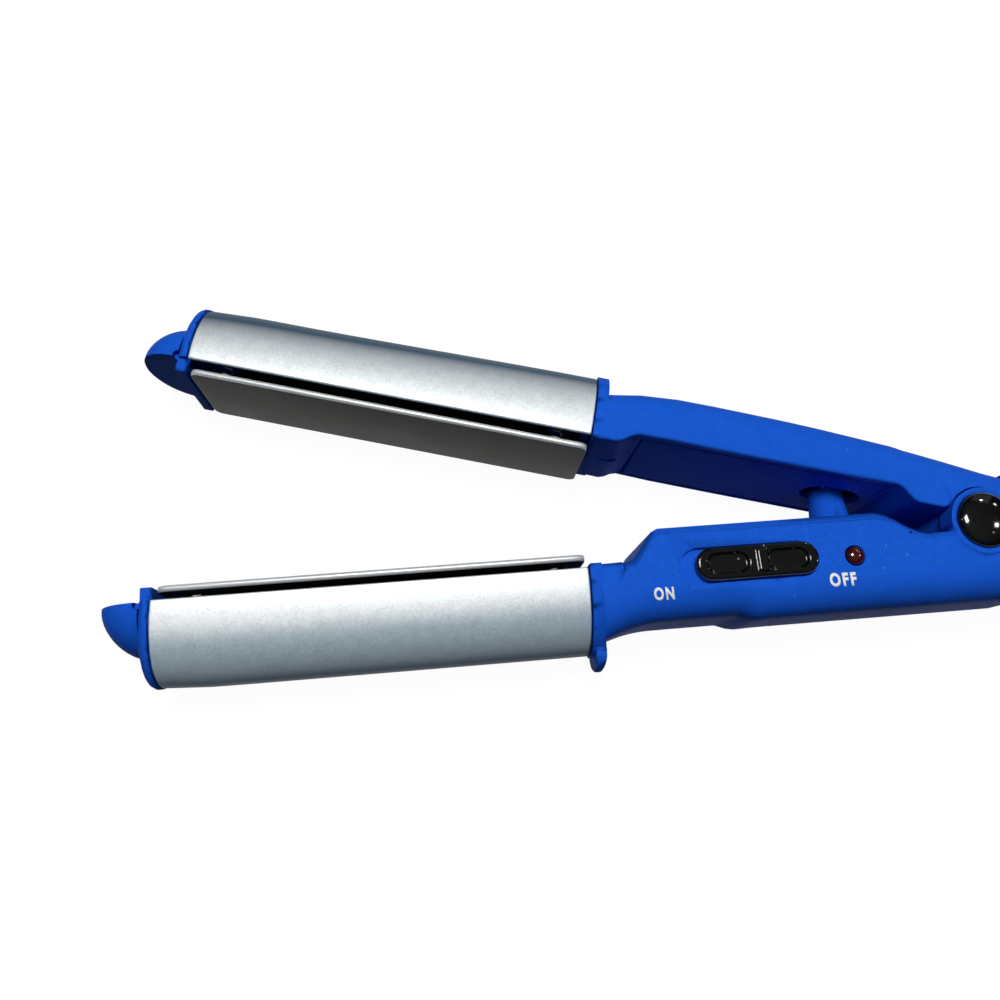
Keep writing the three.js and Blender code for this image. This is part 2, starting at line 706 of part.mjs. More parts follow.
function endRing() {
  const shoulder = shellHalfWidth + ringLip;
  const half = plateWidth / 2;
  const corner = 0.8;
  const outline = new THREE.Shape();
  outline.moveTo(-half + corner, ringTop);
  outline.lineTo(half - corner, ringTop);
  outline.quadraticCurveTo(half, ringTop, half, ringTop + corner);
  outline.lineTo(half, shellRim - 0.2);
  outline.lineTo(shoulder, shellRim - 0.2);
  outline.lineTo(shoulder, shellRim);
  outline.absellipse(0, shellRim, shoulder, shellDepth + ringLip, 0, Math.PI, false);
  outline.lineTo(-shoulder, shellRim - 0.2);
  outline.lineTo(-half, shellRim - 0.2);
  outline.lineTo(-half, ringTop + corner);
  outline.quadraticCurveTo(-half, ringTop, -half + corner, ringTop);
  return alongX(outline, ringOuter, ringInner, 16).intersect(ringBevel(shoulder));
}

// The room that the ring's bevelled outer edge leaves, toward the nose.
function ringBevel(shoulder) {
  const bevel = 0.9;
  const steps = 16;
  const places = [ringOuter, ringOuter + 0.4 * bevel, ringOuter + bevel, ringInner + 1];
  const drawnIn = [bevel, 0.4 * bevel, 0, -0.1];
  return loft(places, (x) => {
    const inset = drawnIn[places.indexOf(x)];
    const halfWidth = shoulder - inset;
    const arc = Array.from({ length: steps + 1 }, (_, i) => {
      const angle = (i / steps) * Math.PI;
      const depth = shellDepth + ringLip - inset;
      return [halfWidth * Math.cos(angle), shellRim + depth * Math.sin(angle)];
    });
    return [[halfWidth, -1], ...arc, [-halfWidth, -1]];
  });
}

function barrelShell() {
  const outline = new THREE.Shape();
  const insideWidth = shellHalfWidth - shellThickness;
  outline.absellipse(0, shellRim, shellHalfWidth, shellDepth, 0, Math.PI, false);
  outline.absellipse(0, shellRim, insideWidth, shellDepth - shellThickness, Math.PI, 0, true);
  return alongX(outline, ringInner + moulding, collarFront - moulding, 24);
}

// The cool tip: half an ogive with a flat inner face, a narrow base step and a plug.
function tip() {
  const base = ringOuter - moulding;
  const stepLength = 0.8;
  const stepRise = 0.3;
  const shrink = (t) => (1 - t ** nosePower) ** (1 / nosePower);
  const section = (halfWidth, depth) => {
    const steps = 10;
    const flat = shellRim - 0.1;
    return Array.from({ length: steps + 1 }, (_, i) => {
      const angle = (i / steps) * Math.PI;
      return [halfWidth * Math.cos(angle), flat + depth * Math.sin(angle)];
    });
  };
  const steps = 8;
  const turn = Math.PI / 2 / steps;
  const places = Array.from({ length: steps + 1 }, (_, i) => 0.995 * Math.sin(i * turn)).reverse();
  const nose = loft(
    places.map((t) => base - t * noseLength),
    (x) => {
      const scale = shrink((base - x) / noseLength);
      return section(noseHalfWidth * scale, noseDepth * scale);
    },
  );
  const stepSection = () => section(noseHalfWidth + stepRise, noseDepth + stepRise);
  const step = loft([base - stepLength, base], stepSection);
  const notches = [1, -1].map((side) =>
    rodAlongY(base - stepLength, side * (noseHalfWidth - 0.7), 0.75, shellRim - 1, shellRim + 1.6, 12),
  );
  const plug = rodAlongX(plugLevel, 0, plugRadius, base - 0.5, ringInner - 0.1);
  return cut(join(nose, step, plug), ...notches);
}

// The heated plate: a slab with round long edges and two hooked legs that hold the heater.
function plate() {
  const half = plateWidth / 2;
  const radius = plateThickness / 2;
  const legOut = legSpacing / 2;
  const legIn = legOut - legThickness;
  const legEnd = plateUnder + legDepth;
  const hook = 0.6;
  const outline = new THREE.Shape();
  outline.absarc(half - radius, plateFace + radius, radius, -Math.PI / 2, Math.PI / 2, false);
  outline.lineTo(legOut, plateUnder);
  outline.lineTo(legOut, legEnd);
  outline.lineTo(legIn - hook, legEnd);
  outline.lineTo(legIn - hook, legEnd - hook);
  outline.lineTo(legIn, legEnd - hook);
  outline.lineTo(legIn, plateUnder);
  outline.lineTo(-legIn, plateUnder);
  outline.lineTo(-legIn, legEnd - hook);
  outline.lineTo(-legIn + hook, legEnd - hook);
  outline.lineTo(-legIn + hook, legEnd);
  outline.lineTo(-legOut, legEnd);
  outline.lineTo(-legOut, plateUnder);
  outline.absarc(-half + radius, plateFace + radius, radius, Math.PI / 2, (3 * Math.PI) / 2, false);
  const corner = 1.6;
  const plan = new THREE.Shape();
  plan.moveTo(plateTip + corner, -half);
  plan.lineTo(plateRear - corner, -half);
  plan.quadraticCurveTo(plateRear, -half, plateRear, -half + corner);
  plan.lineTo(plateRear, half - corner);
  plan.quadraticCurveTo(plateRear, half, plateRear - corner, half);
  plan.lineTo(plateTip + corner, half);
  plan.quadraticCurveTo(plateTip, half, plateTip, half - corner);
  plan.lineTo(plateTip, -half + corner);
  plan.quadraticCurveTo(plateTip, -half, plateTip + corner, -half);
  const bar = alongX(outline, plateTip, plateRear, 8).intersect(alongY(plan, -1, legEnd + 1, 4));
  const ends = [
    block(plateTip - 1, plateTip + legEndInset, plateUnder, legEnd + 1, -half, half),
    block(plateRear - legEndInset, plateRear + 1, plateUnder, legEnd + 1, -half, half),
  ];
  return cut(bar, ...ends);
}

const heaterTop = plateUnder + moulding;
const heaterThickness = 1.5;
const heaterEndInset = 5;

function heater() {
  const half = legSpacing / 2 - legThickness - moulding;
  const from = plateTip + heaterEndInset;
  const to = plateRear - heaterEndInset;
  return block(from, to, heaterTop, heaterTop + heaterThickness, -half, half);
}

// The waved spring strip that presses the heater to the plate, on the legs' hooks.
function heaterClip() {
  const from = plateTip + heaterEndInset + 2;
  const to = plateRear - heaterEndInset - 2;
  const waves = 6;
  const thickness = 0.3;
  const top = heaterTop + heaterThickness + moulding;
  const room = plateUnder + legDepth - 0.6 - moulding - thickness - top;
  const steps = waves * 6;
  const level = (i) => top + (room / 2) * (1 - Math.cos((i / steps) * waves * 2 * Math.PI));
  const at = (i) => from + ((to - from) * i) / steps;
  const upper = Array.from({ length: steps + 1 }, (_, i) => new THREE.Vector2(at(i), level(i)));
  const lower = upper.map((p) => new THREE.Vector2(p.x, p.y + thickness)).reverse();
  const half = legSpacing / 2 - legThickness - moulding;
  return alongZ(new THREE.Shape([...upper, ...lower]), -half, half);
}

// One unbroken wire wound round an axis curve, 8 steps of 5 sides a curl.
function coil(name, axisAt, radius, wire, curls) {
  const stepsPerCurl = 8;
  const sides = 5;
  const steps = Math.round(curls * stepsPerCurl);
  const across = new THREE.Vector3(0, 0, 1);
  const onHelix = (t) => {
    const centre = axisAt(t);
    const along = axisAt(Math.min(t + 0.01, 1)).sub(axisAt(Math.max(t - 0.01, 0))).normalize();
    const side = new THREE.Vector3().crossVectors(along, across).normalize();
    const angle = t * curls * 2 * Math.PI;
    const radial = side.multiplyScalar(Math.cos(angle)).addScaledVector(across, Math.sin(angle));
    return { radial, point: centre.addScaledVector(radial, radius) };
  };
  const centres = Array.from({ length: steps + 1 }, (_, i) => onHelix(i / steps));
  const points = [];
  const faces = [];
  centres.forEach(({ radial, point }, i) => {
    const next = centres[Math.min(i + 1, steps)].point;
    const before = centres[Math.max(i - 1, 0)].point;
    const forward = next.clone().sub(before).normalize();
    const up = new THREE.Vector3().crossVectors(forward, radial).normalize();
    const out = new THREE.Vector3().crossVectors(up, forward).normalize();
    for (let j = 0; j < sides; j += 1) {
      const angle = (j / sides) * 2 * Math.PI;
      const corner = point.clone().addScaledVector(out, (wire / 2) * Math.cos(angle));
      corner.addScaledVector(up, (wire / 2) * Math.sin(angle));
      points.push(corner.x, corner.y, corner.z);
    }
  });
  for (let i = 0; i < steps; i += 1) {
    for (let j = 0; j < sides; j += 1) {
      const a = i * sides + j;
      const b = i * sides + ((j + 1) % sides);
      faces.push(a, b, a + sides, b, b + sides, a + sides);
    }
  }
  const last = steps * sides;
  for (let j = 1; j + 1 < sides; j += 1) {
    faces.push(0, j + 1, j);
    faces.push(last, last + j, last + j + 1);
  }
  const geometry = new THREE.BufferGeometry();
  geometry.setAttribute("position", new THREE.Float32BufferAttribute(points, 3));
  geometry.setIndex(faces);
  console.log(`${name}: least gap to itself ${leastGap(centres, stepsPerCurl, wire).toFixed(2)} mm`);
  return piece(name, solid(geometry), steel);
}

// The least gap between stretches of a coil that are more than half a curl apart.
function leastGap(centres, stepsPerCurl, wire) {
  let least = Infinity;
  for (let i = 0; i < centres.length; i += 1) {
    for (let k = i + Math.ceil(stepsPerCurl * 0.6); k < centres.length; k += 1) {
      least = Math.min(least, centres[i].point.distanceTo(centres[k].point) - wire);
    }
  }
  return least;
}

function plateSpring(name, { x, z }) {
  const from = plateUnder + moulding + plateSpringWire / 2;
  const to = springPocketBottom - moulding - plateSpringWire / 2;
  const axisAt = (t) => new THREE.Vector3(x, from + (to - from) * t, z);
  return coil(name, axisAt, plateSpringRadius, plateSpringWire, plateSpringCurls);
}

// The return spring bends from the post toward its seat in the upper arm. Its places are in the
// lower arm's frame, and the seat is turned open with the upper arm.
function returnSpring() {
  const ceiling = upperCrown(springSeatX) - handleWall - 0.5 - moulding - returnSpringWire / 2;
  const seat = new THREE.Vector3(springSeatX, ceiling, 0);
  seat.applyAxisAngle(new THREE.Vector3(0, 0, 1), -openAngle);
  const start = new THREE.Vector3(postX, springPocketFloor - moulding - returnSpringWire / 2, 0);
  const mouth = new THREE.Vector3(postX, -partingRise - postHeight + 0.5, 0);
  const route = new THREE.QuadraticBezierCurve3(start, mouth, new THREE.Vector3(seat.x, -seat.y, 0));
  const axisAt = (t) => route.getPointAt(t);
  return coil("return_spring", axisAt, returnSpringRadius, returnSpringWire, returnSpringCurls);
}

function hingePin() {
  const shank = aroundHinge(pinRadius, pinEnd, pinHeadSeat + 0.2, 24);
  const head = aroundHinge(pinHeadRadius, pinHeadSeat, pinHeadSeat + pinHeadThickness, 32);
  return join(shank, head);
}

// The gloss dome over the pin head, with its plug.
function hingeCap() {
  const seat = capSeat + moulding;
  const skirt = 0.75;
  const plugEnd = pinHeadSeat + pinHeadThickness + moulding;
  const profile = [new THREE.Vector2(0, plugEnd), new THREE.Vector2(pinHeadRadius - 0.1, plugEnd)];
  profile.push(new THREE.Vector2(pinHeadRadius - 0.1, seat), new THREE.Vector2(capRadius, seat));
  const steps = 6;
  for (let i = 0; i <= steps; i += 1) {
    const angle = (i / steps) * (Math.PI / 2);
    const radius = i === steps ? 0 : capRadius * Math.cos(angle);
    profile.push(new THREE.Vector2(radius, seat + skirt + capHeight * Math.sin(angle)));
  }
  return solid(new THREE.LatheGeometry(profile, 30).rotateX(Math.PI / 2));
}

// The slider: a bevelled body with two dished pads, a pair of ridges between them and its stem.
function switchKnob() {
  const bevel = 0.5;
  const bottom = recessFloor + moulding;
  const outline = stadium(knobOffX, switchLevel, knobLength - 2 * bevel, knobWidth - 2 * bevel);
  const body = new THREE.ExtrudeGeometry(outline, {
    depth: knobThickness - bevel,
    bevelThickness: bevel,
    bevelSize: bevel,
    bevelSegments: 2,
    curveSegments: 10,
  }).translate(0, 0, bottom);
  const under = block(-beyond, beyond, -beyond, beyond, bottom - 2, bottom);
  const top = bottom + knobThickness;
  const padLength = 7.4;
  const padReach = knobLength / 2 - bevel - 0.7 - padLength / 2;
  const pads = [-1, 1].map((side) => {
    const pad = stadium(knobOffX + side * padReach, switchLevel, padLength, knobWidth - 1.9);
    return alongZ(pad, top - 0.55, top + 1, 6);
  });
  const ridges = [-0.8, 0.8].map((offset) => {
    const x = knobOffX + offset;
    return block(x - 0.35, x + 0.35, switchLevel - 1.8, switchLevel + 1.8, top - 0.3, top + 0.35);
  });
  const stem = alongZ(
    stadium(knobOffX, switchLevel, stemLength, stemWidth),
    handleHalfWidth - handleWall - stemReach,
    bottom + 0.3,
    4,
  );
  return join(cut(solid(body), under, ...pads), ...ridges, stem);
}

function switchBody() {
  const top = handleHalfWidth - handleWall - moulding;
  const bottom = boardLevel + boardThickness + moulding;
  const reach = switchBodyLength / 2;
  const half = 3.1;
  const [from, to] = [switchX - reach, switchX + reach];
  const body = block(from, to, switchLevel - half, switchLevel + half, bottom, top);
  const slotLength = stemLength + switchTravel + 2 * knobGap;
  const slot = alongZ(
    stadium(switchX, switchLevel, slotLength, stemWidth + 2 * knobGap),
    handleHalfWidth - handleWall - stemReach - knobGap,
    top + 1,
    4,
  );
  return cut(body, slot);
}

function circuitBoard() {
  const from = switchX - switchBodyLength / 2 - 4.5;
  const to = lampX + 3.5;
  const outline = new THREE.Shape();
  outline.moveTo(from, 0);
  outline.lineTo(to, 0);
  outline.lineTo(to, lampLevel + 4.8);
  outline.lineTo(from + 2, lampLevel + 4.8);
  outline.lineTo(from, lampLevel + 2.8);
  return alongZ(outline, boardLevel, boardLevel + boardThickness);
}

function pilotLamp() {
  const from = boardLevel + boardThickness + moulding;
  const flange = rodAlongZ(lampX, lampLevel, 1.7, from, from + 0.8, 16);
  const body = rodAlongZ(lampX, lampLevel, 1.35, from, lensFoot - moulding, 16);
  return join(flange, body);
}

const lensFoot = handleHalfWidth - handleWall - 0.6;

function pilotLens() {
  const shoulder = handleHalfWidth - 0.1;
  const rise = 0.75;
  const profile = [new THREE.Vector2(0, lensFoot), new THREE.Vector2(lensRadius, lensFoot)];
  const steps = 5;
  for (let i = 0; i <= steps; i += 1) {
    const angle = (i / steps) * (Math.PI / 2);
    const radius = i === steps ? 0 : lensRadius * Math.cos(angle);
    profile.push(new THREE.Vector2(radius, shoulder + rise * Math.sin(angle)));
  }
  return solid(new THREE.LatheGeometry(profile, 16).rotateX(Math.PI / 2).translate(lampX, lampLevel, 0));
}

// The thermal fuse lies on the carrier's deck under the lower heater.
function thermalFuse() {
  const radius = 0.95;
  const x = plateRear - 22;
  const level = deckLevel - moulding - radius;
  const body = rodAlongX(level, 0, radius, x, x + 9, 16);
  const leads = rodAlongX(level, 0, 0.35, x - 5, x + 14, 8);
  return join(body, leads);
}

// The bush in the tail's end that the supply cord would come in through.
function cordGland() {
  const flangeThickness = 1.2;
  const out = tailEnd + moulding;
  const bush = rodAlongX(inletLevel, 0, glandRadius - 0.9 - moulding, tailEnd - 3, out + 0.2);
  const flange = rodAlongX(inletLevel, 0, glandRadius, out, out + flangeThickness, 32);
  const nose = rodAlongX(inletLevel, 0, glandRadius - 0.8, out + 0.2, out + glandLength, 32);
  const bore = rodAlongX(inletLevel, 0, inletRadius, tailEnd - 5, out + glandLength + 1);
  return cut(join(bush, flange, nose), bore);
}

function addAll(group, pieces) {
  pieces.forEach((mesh) => group.add(mesh));
  return group;
}

function barrelPieces(arm) {
  const fixed = [
    piece(`${arm}_shell`, barrelShell(), satinAluminium),
    piece(`${arm}_carrier`, barrelCarrier(), bluePlastic),
    piece(`${arm}_tip`, tip(), bluePlastic),
    ...plateSprings().map((place, i) => plateSpring(`${arm}_plate_spring_${i + 1}`, place)),
  ];
  const floating = addAll(new THREE.Group(), [
    piece(`${arm}_plate`, plate(), plateMetal),
    piece(`${arm}_heater`, heater(), ceramic),
    piece(`${arm}_heater_clip`, heaterClip(), steel),
  ]);
  return [...fixed, floating];
}

function lowerArm() {
  const arm = new THREE.Group();
  arm.scale.y = -1;
  addAll(arm, barrelPieces("lower"));
  addAll(arm, [
    piece("lower_housing", lowerHousing(), bluePlastic),
    piece("lower_cover", lowerCover(), bluePlastic),
    piece("hinge_pin", hingePin(), steel),
    piece("hinge_cap", hingeCap(), black),
    piece("switch_body", switchBody(), darkPlastic),
    piece("circuit_board", circuitBoard(), boardGreen),
    piece("pilot_lamp", pilotLamp(), clearLamp),
    piece("pilot_lens", pilotLens(), redLens),
    piece("thermal_fuse", thermalFuse(), ceramic),
    piece("cord_gland", cordGland(), darkPlastic),
    piece("switch_knob", switchKnob(), black),
    returnSpring(),
    ...coverScrews.map((place, i) => piece(`cover_screw_${i + 1}`, coverScrew(place), steel)),
  ]);
  return arm;
}

function upperArm() {
  const arm = new THREE.Group();
  arm.rotation.z = -openAngle;
  addAll(arm, barrelPieces("upper"));
  addAll(arm, [
    piece("upper_housing", upperHousing(), bluePlastic),
    piece("upper_cover", upperCover(), bluePlastic),
  ]);
  return arm;
}

const straightener = new THREE.Group();
straightener.position.z = handleHalfWidth;
straightener.add(lowerArm(), upperArm());

export default straightener;
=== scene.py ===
"""Looks of a mini hair straightener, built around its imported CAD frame.

The iron lies open on its flat side. Its hinge axis stands along +Z, its tips point along -X, the
lower arm lies along the X axis and the upper arm opens toward +Y. All lengths are in metres.

Both arms are worked out in one arm frame: x runs along the arm, y is the distance outward from the
plane where the plates meet, and z is the distance from the arm's middle plane. ArmPlace carries
such points to their place in the scene.
"""

import json
import logging
import math
from dataclasses import dataclass
from enum import Enum
from typing import Callable, Iterable, Sequence

import bmesh
import bpy
import numpy as np
from mathutils import Matrix, Vector


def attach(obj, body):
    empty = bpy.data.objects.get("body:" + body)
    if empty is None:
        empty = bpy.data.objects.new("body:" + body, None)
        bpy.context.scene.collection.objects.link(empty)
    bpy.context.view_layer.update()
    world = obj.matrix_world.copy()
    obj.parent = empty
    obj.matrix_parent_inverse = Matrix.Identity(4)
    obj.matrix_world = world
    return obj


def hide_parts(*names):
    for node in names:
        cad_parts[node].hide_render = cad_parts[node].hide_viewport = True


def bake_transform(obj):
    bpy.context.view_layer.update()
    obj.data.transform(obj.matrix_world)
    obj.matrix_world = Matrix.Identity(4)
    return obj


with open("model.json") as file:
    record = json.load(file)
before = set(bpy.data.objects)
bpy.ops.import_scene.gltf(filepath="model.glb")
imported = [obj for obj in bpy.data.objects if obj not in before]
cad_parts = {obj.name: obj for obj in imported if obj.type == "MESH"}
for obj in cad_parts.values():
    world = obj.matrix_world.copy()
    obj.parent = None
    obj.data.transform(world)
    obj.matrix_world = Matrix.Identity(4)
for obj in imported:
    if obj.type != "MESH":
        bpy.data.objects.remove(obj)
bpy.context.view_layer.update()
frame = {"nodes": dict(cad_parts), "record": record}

log = logging.getLogger("straightener")
Array = np.ndarray
Piece = bpy.types.Object
Socket = bpy.types.NodeSocket
Pair = tuple[float, float]
Colour = tuple[float, float, float, float]
Place = tuple[float, float, float]
MM = 0.001
QUARTER = np.pi / 2.0
POLE_RADIUS = 1e-6
NUMBER = "NodeSocketFloat"
VECTOR = "NodeSocketVector"
WHITE: Colour = (1.0, 1.0, 1.0, 1.0)
PHOTO_EYE: Place = (-91.973 * MM, -28.316 * MM, 163.347 * MM)


class ArmSide(Enum):
    """The two arms of the iron."""

    LOWER = "lower"
    UPPER = "upper"


class Fusing(Enum):
    """How other solids change a piece."""

    JOIN = "UNION"
    CUT = "DIFFERENCE"


# Mesh helpers


def smooth_step(value: Array, low: float, high: float) -> Array:
    """Rises from 0 at low to 1 at high along 3t^2 - 2t^3, and stays level outside."""
    t = np.clip((value - low) / (high - low), 0.0, 1.0)
    return t * t * (3.0 - 2.0 * t)


def stacked(*parts: Array | float) -> Array:
    """Spreads coordinates over one common grid and joins them along a new last axis."""
    return np.stack(np.broadcast_arrays(*parts), axis=-1)


def full_turn(sides: int) -> Array:
    """Gives the angles of a closed ring's points."""
    return np.linspace(0.0, 2.0 * np.pi, sides, endpoint=False)


def rounded_run(ends: Pair, radius: float, steps: int, between: int
                ) -> tuple[Array, Array]:
    """Places rings along a run whose two ends are rounded by a quarter circle.

    Args:
        ends: Where the run starts and ends.
        radius: The quarter circle's radius.
        steps: Rings over each quarter circle.
        between: Rings over the straight part.

    Returns:
        The rings' places, and how far each ring is drawn in.
    """
    start, end = ends
    swing = np.linspace(0.0, QUARTER, steps)
    step_in = radius * (1.0 - np.cos(swing))
    drawn = radius * (1.0 - np.sin(swing))
    middle = np.linspace(start + 2 * radius, end - 2 * radius, between)
    return (np.concatenate([start + step_in, middle, (end - step_in)[::-1]]),
            np.concatenate([drawn, np.zeros(between), drawn[::-1]]))


def read_rows(items: Sequence[object], label: str) -> Array:
    """Reads a three-part property of all vertices or faces, one row each."""
    values = np.empty(len(items) * 3)
    items.foreach_get(label, values)
    return values.reshape(-1, 3)


def add_object(name: str, data: bpy.types.ID) -> Piece:
    """Links data to the scene as an object at the origin."""
    piece = bpy.data.objects.new(name, data)
    bpy.context.scene.collection.objects.link(piece)
    return piece


def tidy_mesh(mesh: bpy.types.Mesh, crease: float, merge: float = 1e-7) -> None:
    """Merges doubles, turns every face outward and shades smooth up to an angle.

    Args:
        mesh: The mesh to finish.
        crease: Edges sharper than this many degrees stay sharp.
        merge: Vertices closer than this are one.
    """
    work = bmesh.new()
    work.from_mesh(mesh)
    bmesh.ops.remove_doubles(work, verts=work.verts, dist=merge)
    bmesh.ops.recalc_face_normals(work, faces=work.faces)
    work.to_mesh(mesh)
    work.free()
    mesh.shade_smooth()
    mesh.set_sharp_from_angle(angle=math.radians(crease))
    mesh.update()


def ring_faces(rings: int, around: int) -> list[list[int]]:
    """Lists the four-sided faces between neighbouring rings of points, each closed on itself."""
    first = np.arange(rings - 1)[:, None] * around
    here = np.arange(around)
    after = (here + 1) % around
    return stacked(first + here, first + after, first + around + after,
                   first + around + here).reshape(-1, 4).tolist()


def mesh_piece(name: str, grid: Array, faces: list[list[int]], crease: float) -> Piece:
    """Makes a piece from a grid's points and a list of faces."""
    mesh = bpy.data.meshes.new(name)
    mesh.from_pydata(grid.reshape(-1, 3), [], faces)
    tidy_mesh(mesh, crease)
    return add_object(name, mesh)


def skin_grid(name: str, grid: Array, crease: float = 35.0) -> Piece:
    """Makes a closed skin from rings of points: faces join them, and one closes each end.

    Args:
        name: The piece's name.
        grid: Points, shape (rings, points a ring, 3).
        crease: Edges sharper than this many degrees stay sharp.

    Returns:
        The new piece.
    """
    rings, around, _ = grid.shape
    ends = [list(range(around)), list(range((rings - 1) * around, rings * around))]
    return mesh_piece(name, grid, ring_faces(rings, around) + ends, crease)


def skin_band(name: str, grid: Array, rim: int) -> Piece:
    """Skins a band whose end rings are thin loops, and closes each end loop across its width.

    The first half of a ring is the outer curve and the rest comes back inside it, so the ends
    are closed by faces between point i and the point facing it.

    Args:
        name: The piece's name.
        grid: Points, shape (rings, points a ring, 3).
        rim: Points on each of the two round rims between the curves.

    Returns:
        The piece.
    """
    rings, around, _ = grid.shape
    curve = (around - 2 * rim) // 2
    index = np.arange(curve - 1)
    facing = 2 * curve + rim - 1 - index
    cap = stacked(index, index + 1, facing - 1, facing)
    far = np.arange(curve - 1, curve + rim + 1)
    near = np.array([0, *range(2 * curve + rim - 1, around)])
    faces = ring_faces(rings, around)
    for first in (0, (rings - 1) * around):
        faces += [face.tolist() for face in (*(cap + first), far + first, near + first)]
    return mesh_piece(name, grid, faces, 50.0)


def domed(name: str, foot: Sequence[Sequence[float]], dome: Place, centre: Place,
          counts: tuple[int, int]) -> Piece:
    """Turns a foot with a low dome over it about an upright axis.

    The dome is an ellipse's quarter, radius x cos u against shoulder + rise x sin u. Each point
    of the profile becomes a ring.

    Args:
        name: The piece's name.
        foot: Rows of (radius, height) up to the dome.
        dome: The dome's radius, shoulder height and rise.
        centre: The axis' place, with the height that the profile starts from.
        counts: Rings over the dome, and points a ring.

    Returns:
        The piece.
    """
    radius, shoulder, rise = dome
    swing, turn = np.linspace(0.0, QUARTER, counts[0]), full_turn(counts[1])
    outer = stacked(radius * np.cos(swing), shoulder + rise * np.sin(swing))
    outer[-1, 0] = POLE_RADIUS
    profile = np.concatenate([foot, outer])
    reach, height = profile[:, 0:1], profile[:, 1:2]
    return skin_grid(name, stacked(centre[0] + reach * np.cos(turn),
                                   centre[1] + reach * np.sin(turn), centre[2] + height), 50.0)


def baked(piece: Piece) -> bpy.types.Mesh:
    """Gives a piece's form, with its modifiers applied, as a new mesh."""
    graph = bpy.context.evaluated_depsgraph_get()
    return bpy.data.meshes.new_from_object(piece.evaluated_get(graph))


def evaluated(piece: Piece) -> Piece:
    """Applies a piece's modifiers to its mesh and removes them."""
    mesh = baked(piece)
    piece.modifiers.clear()
    piece.data = mesh
    return piece


def copy_of(node: str, name: str, crease: float = 28.0) -> Piece:
    """Copies a CAD node's form into a new piece, merged and smooth over its curved faces.

    Args:
        node: The CAD node.
        name: The new piece's name.
        crease: Edges sharper than this many degrees stay sharp.

    Returns:
        The new piece.
    """
    mesh = frame["nodes"][node].data.copy()
    mesh.name = name
    mesh.materials.clear()
    tidy_mesh(mesh, crease, merge=2e-6)
    piece = add_object(name, mesh)
    piece.modifiers.new("flat_faces_lead", "WEIGHTED_NORMAL").keep_sharp = True
    return evaluated(piece)


def fused(piece: Piece, others: Sequence[Piece], how: Fusing, crease: float) -> Piece:
    """Joins other solids to a piece, or cuts them out of it, and removes them.

    Args:
        piece: The piece that stays.
        others: The other solids.
        how: Whether they are joined or cut away.
        crease: Edges sharper than this many degrees stay sharp.

    Returns:
        The same piece as one closed solid.
    """
    for other in others:
        step = piece.modifiers.new("fusing", "BOOLEAN")
        step.operation = how.value
        step.solver = "EXACT"
        step.object = other
    evaluated(piece)
    for other in others:
        bpy.data.objects.remove(other)
    tidy_mesh(piece.data, crease)
    return piece


@dataclass(frozen=True)
class ArmPlace:
    """Where an arm lies in the scene.

    The arm is turned open about the hinge, its middle plane lies at mid_height over the flat
    side, and at its collar it is deeper by the share swell, which comes in along swell_rise and
    goes again along swell_fall.
    """

    side: ArmSide
    open_degrees: float
    mid_height: float = 12.0 * MM
    swell: float = 0.0
    swell_rise: Pair = (-125.0 * MM, -68.0 * MM)
    swell_fall: Pair = (-64.0 * MM, -36.0 * MM)

    def named(self, ending: str) -> str:
        """Names a piece or node of this arm."""
        return f"{self.side.value}_{ending}"

    def swung(self, x: Array, y: Array, z: Array, angle: float) -> Array:
        """Mirrors a lower arm in y, or turns: x' = x cos a + y sin a, y' = y cos a - x sin a."""
        if self.side is ArmSide.LOWER:
            return stacked(x, -y, z)
        return stacked(x * math.cos(angle) + y * math.sin(angle),
                       y * math.cos(angle) - x * math.sin(angle), z)

    def carry(self, points: Array) -> Array:
        """Takes points from the arm frame to the scene.

        First y grows by the swell, which rises along the barrel to the collar and fades behind
        it. Then the arm is mirrored or turned open.

        Args:
            points: Any array whose last axis is x, y, z in the arm frame.

        Returns:
            The same points in the scene.
        """
        x, y, z = points[..., 0], points[..., 1], points[..., 2] + self.mid_height
        swollen = smooth_step(x, *self.swell_rise) * (1.0 - smooth_step(x, *self.swell_fall))
        return self.swung(x, y * (1.0 + self.swell * swollen), z, math.radians(self.open_degrees))

    def back(self, points: Array) -> Array:
        """Takes points from the scene to the arm frame, without any swell."""
        x, y, z = points[..., 0], points[..., 1], points[..., 2] - self.mid_height
        return self.swung(x, y, z, -math.radians(self.open_degrees))

    def remould(self, piece: Piece, shift: Callable[[Array], Array]) -> Piece:
        """Moves a piece's points in the arm frame.

        Args:
            piece: The piece, in its place in the scene.
            shift: Takes the points in the arm frame and gives them back moved.

        Returns:
            The same piece.
        """
        moved = self.carry(shift(self.back(read_rows(piece.data.vertices, "co"))))
        piece.data.vertices.foreach_set("co", moved.reshape(-1))
        piece.data.update()
        return piece


# Shader helpers


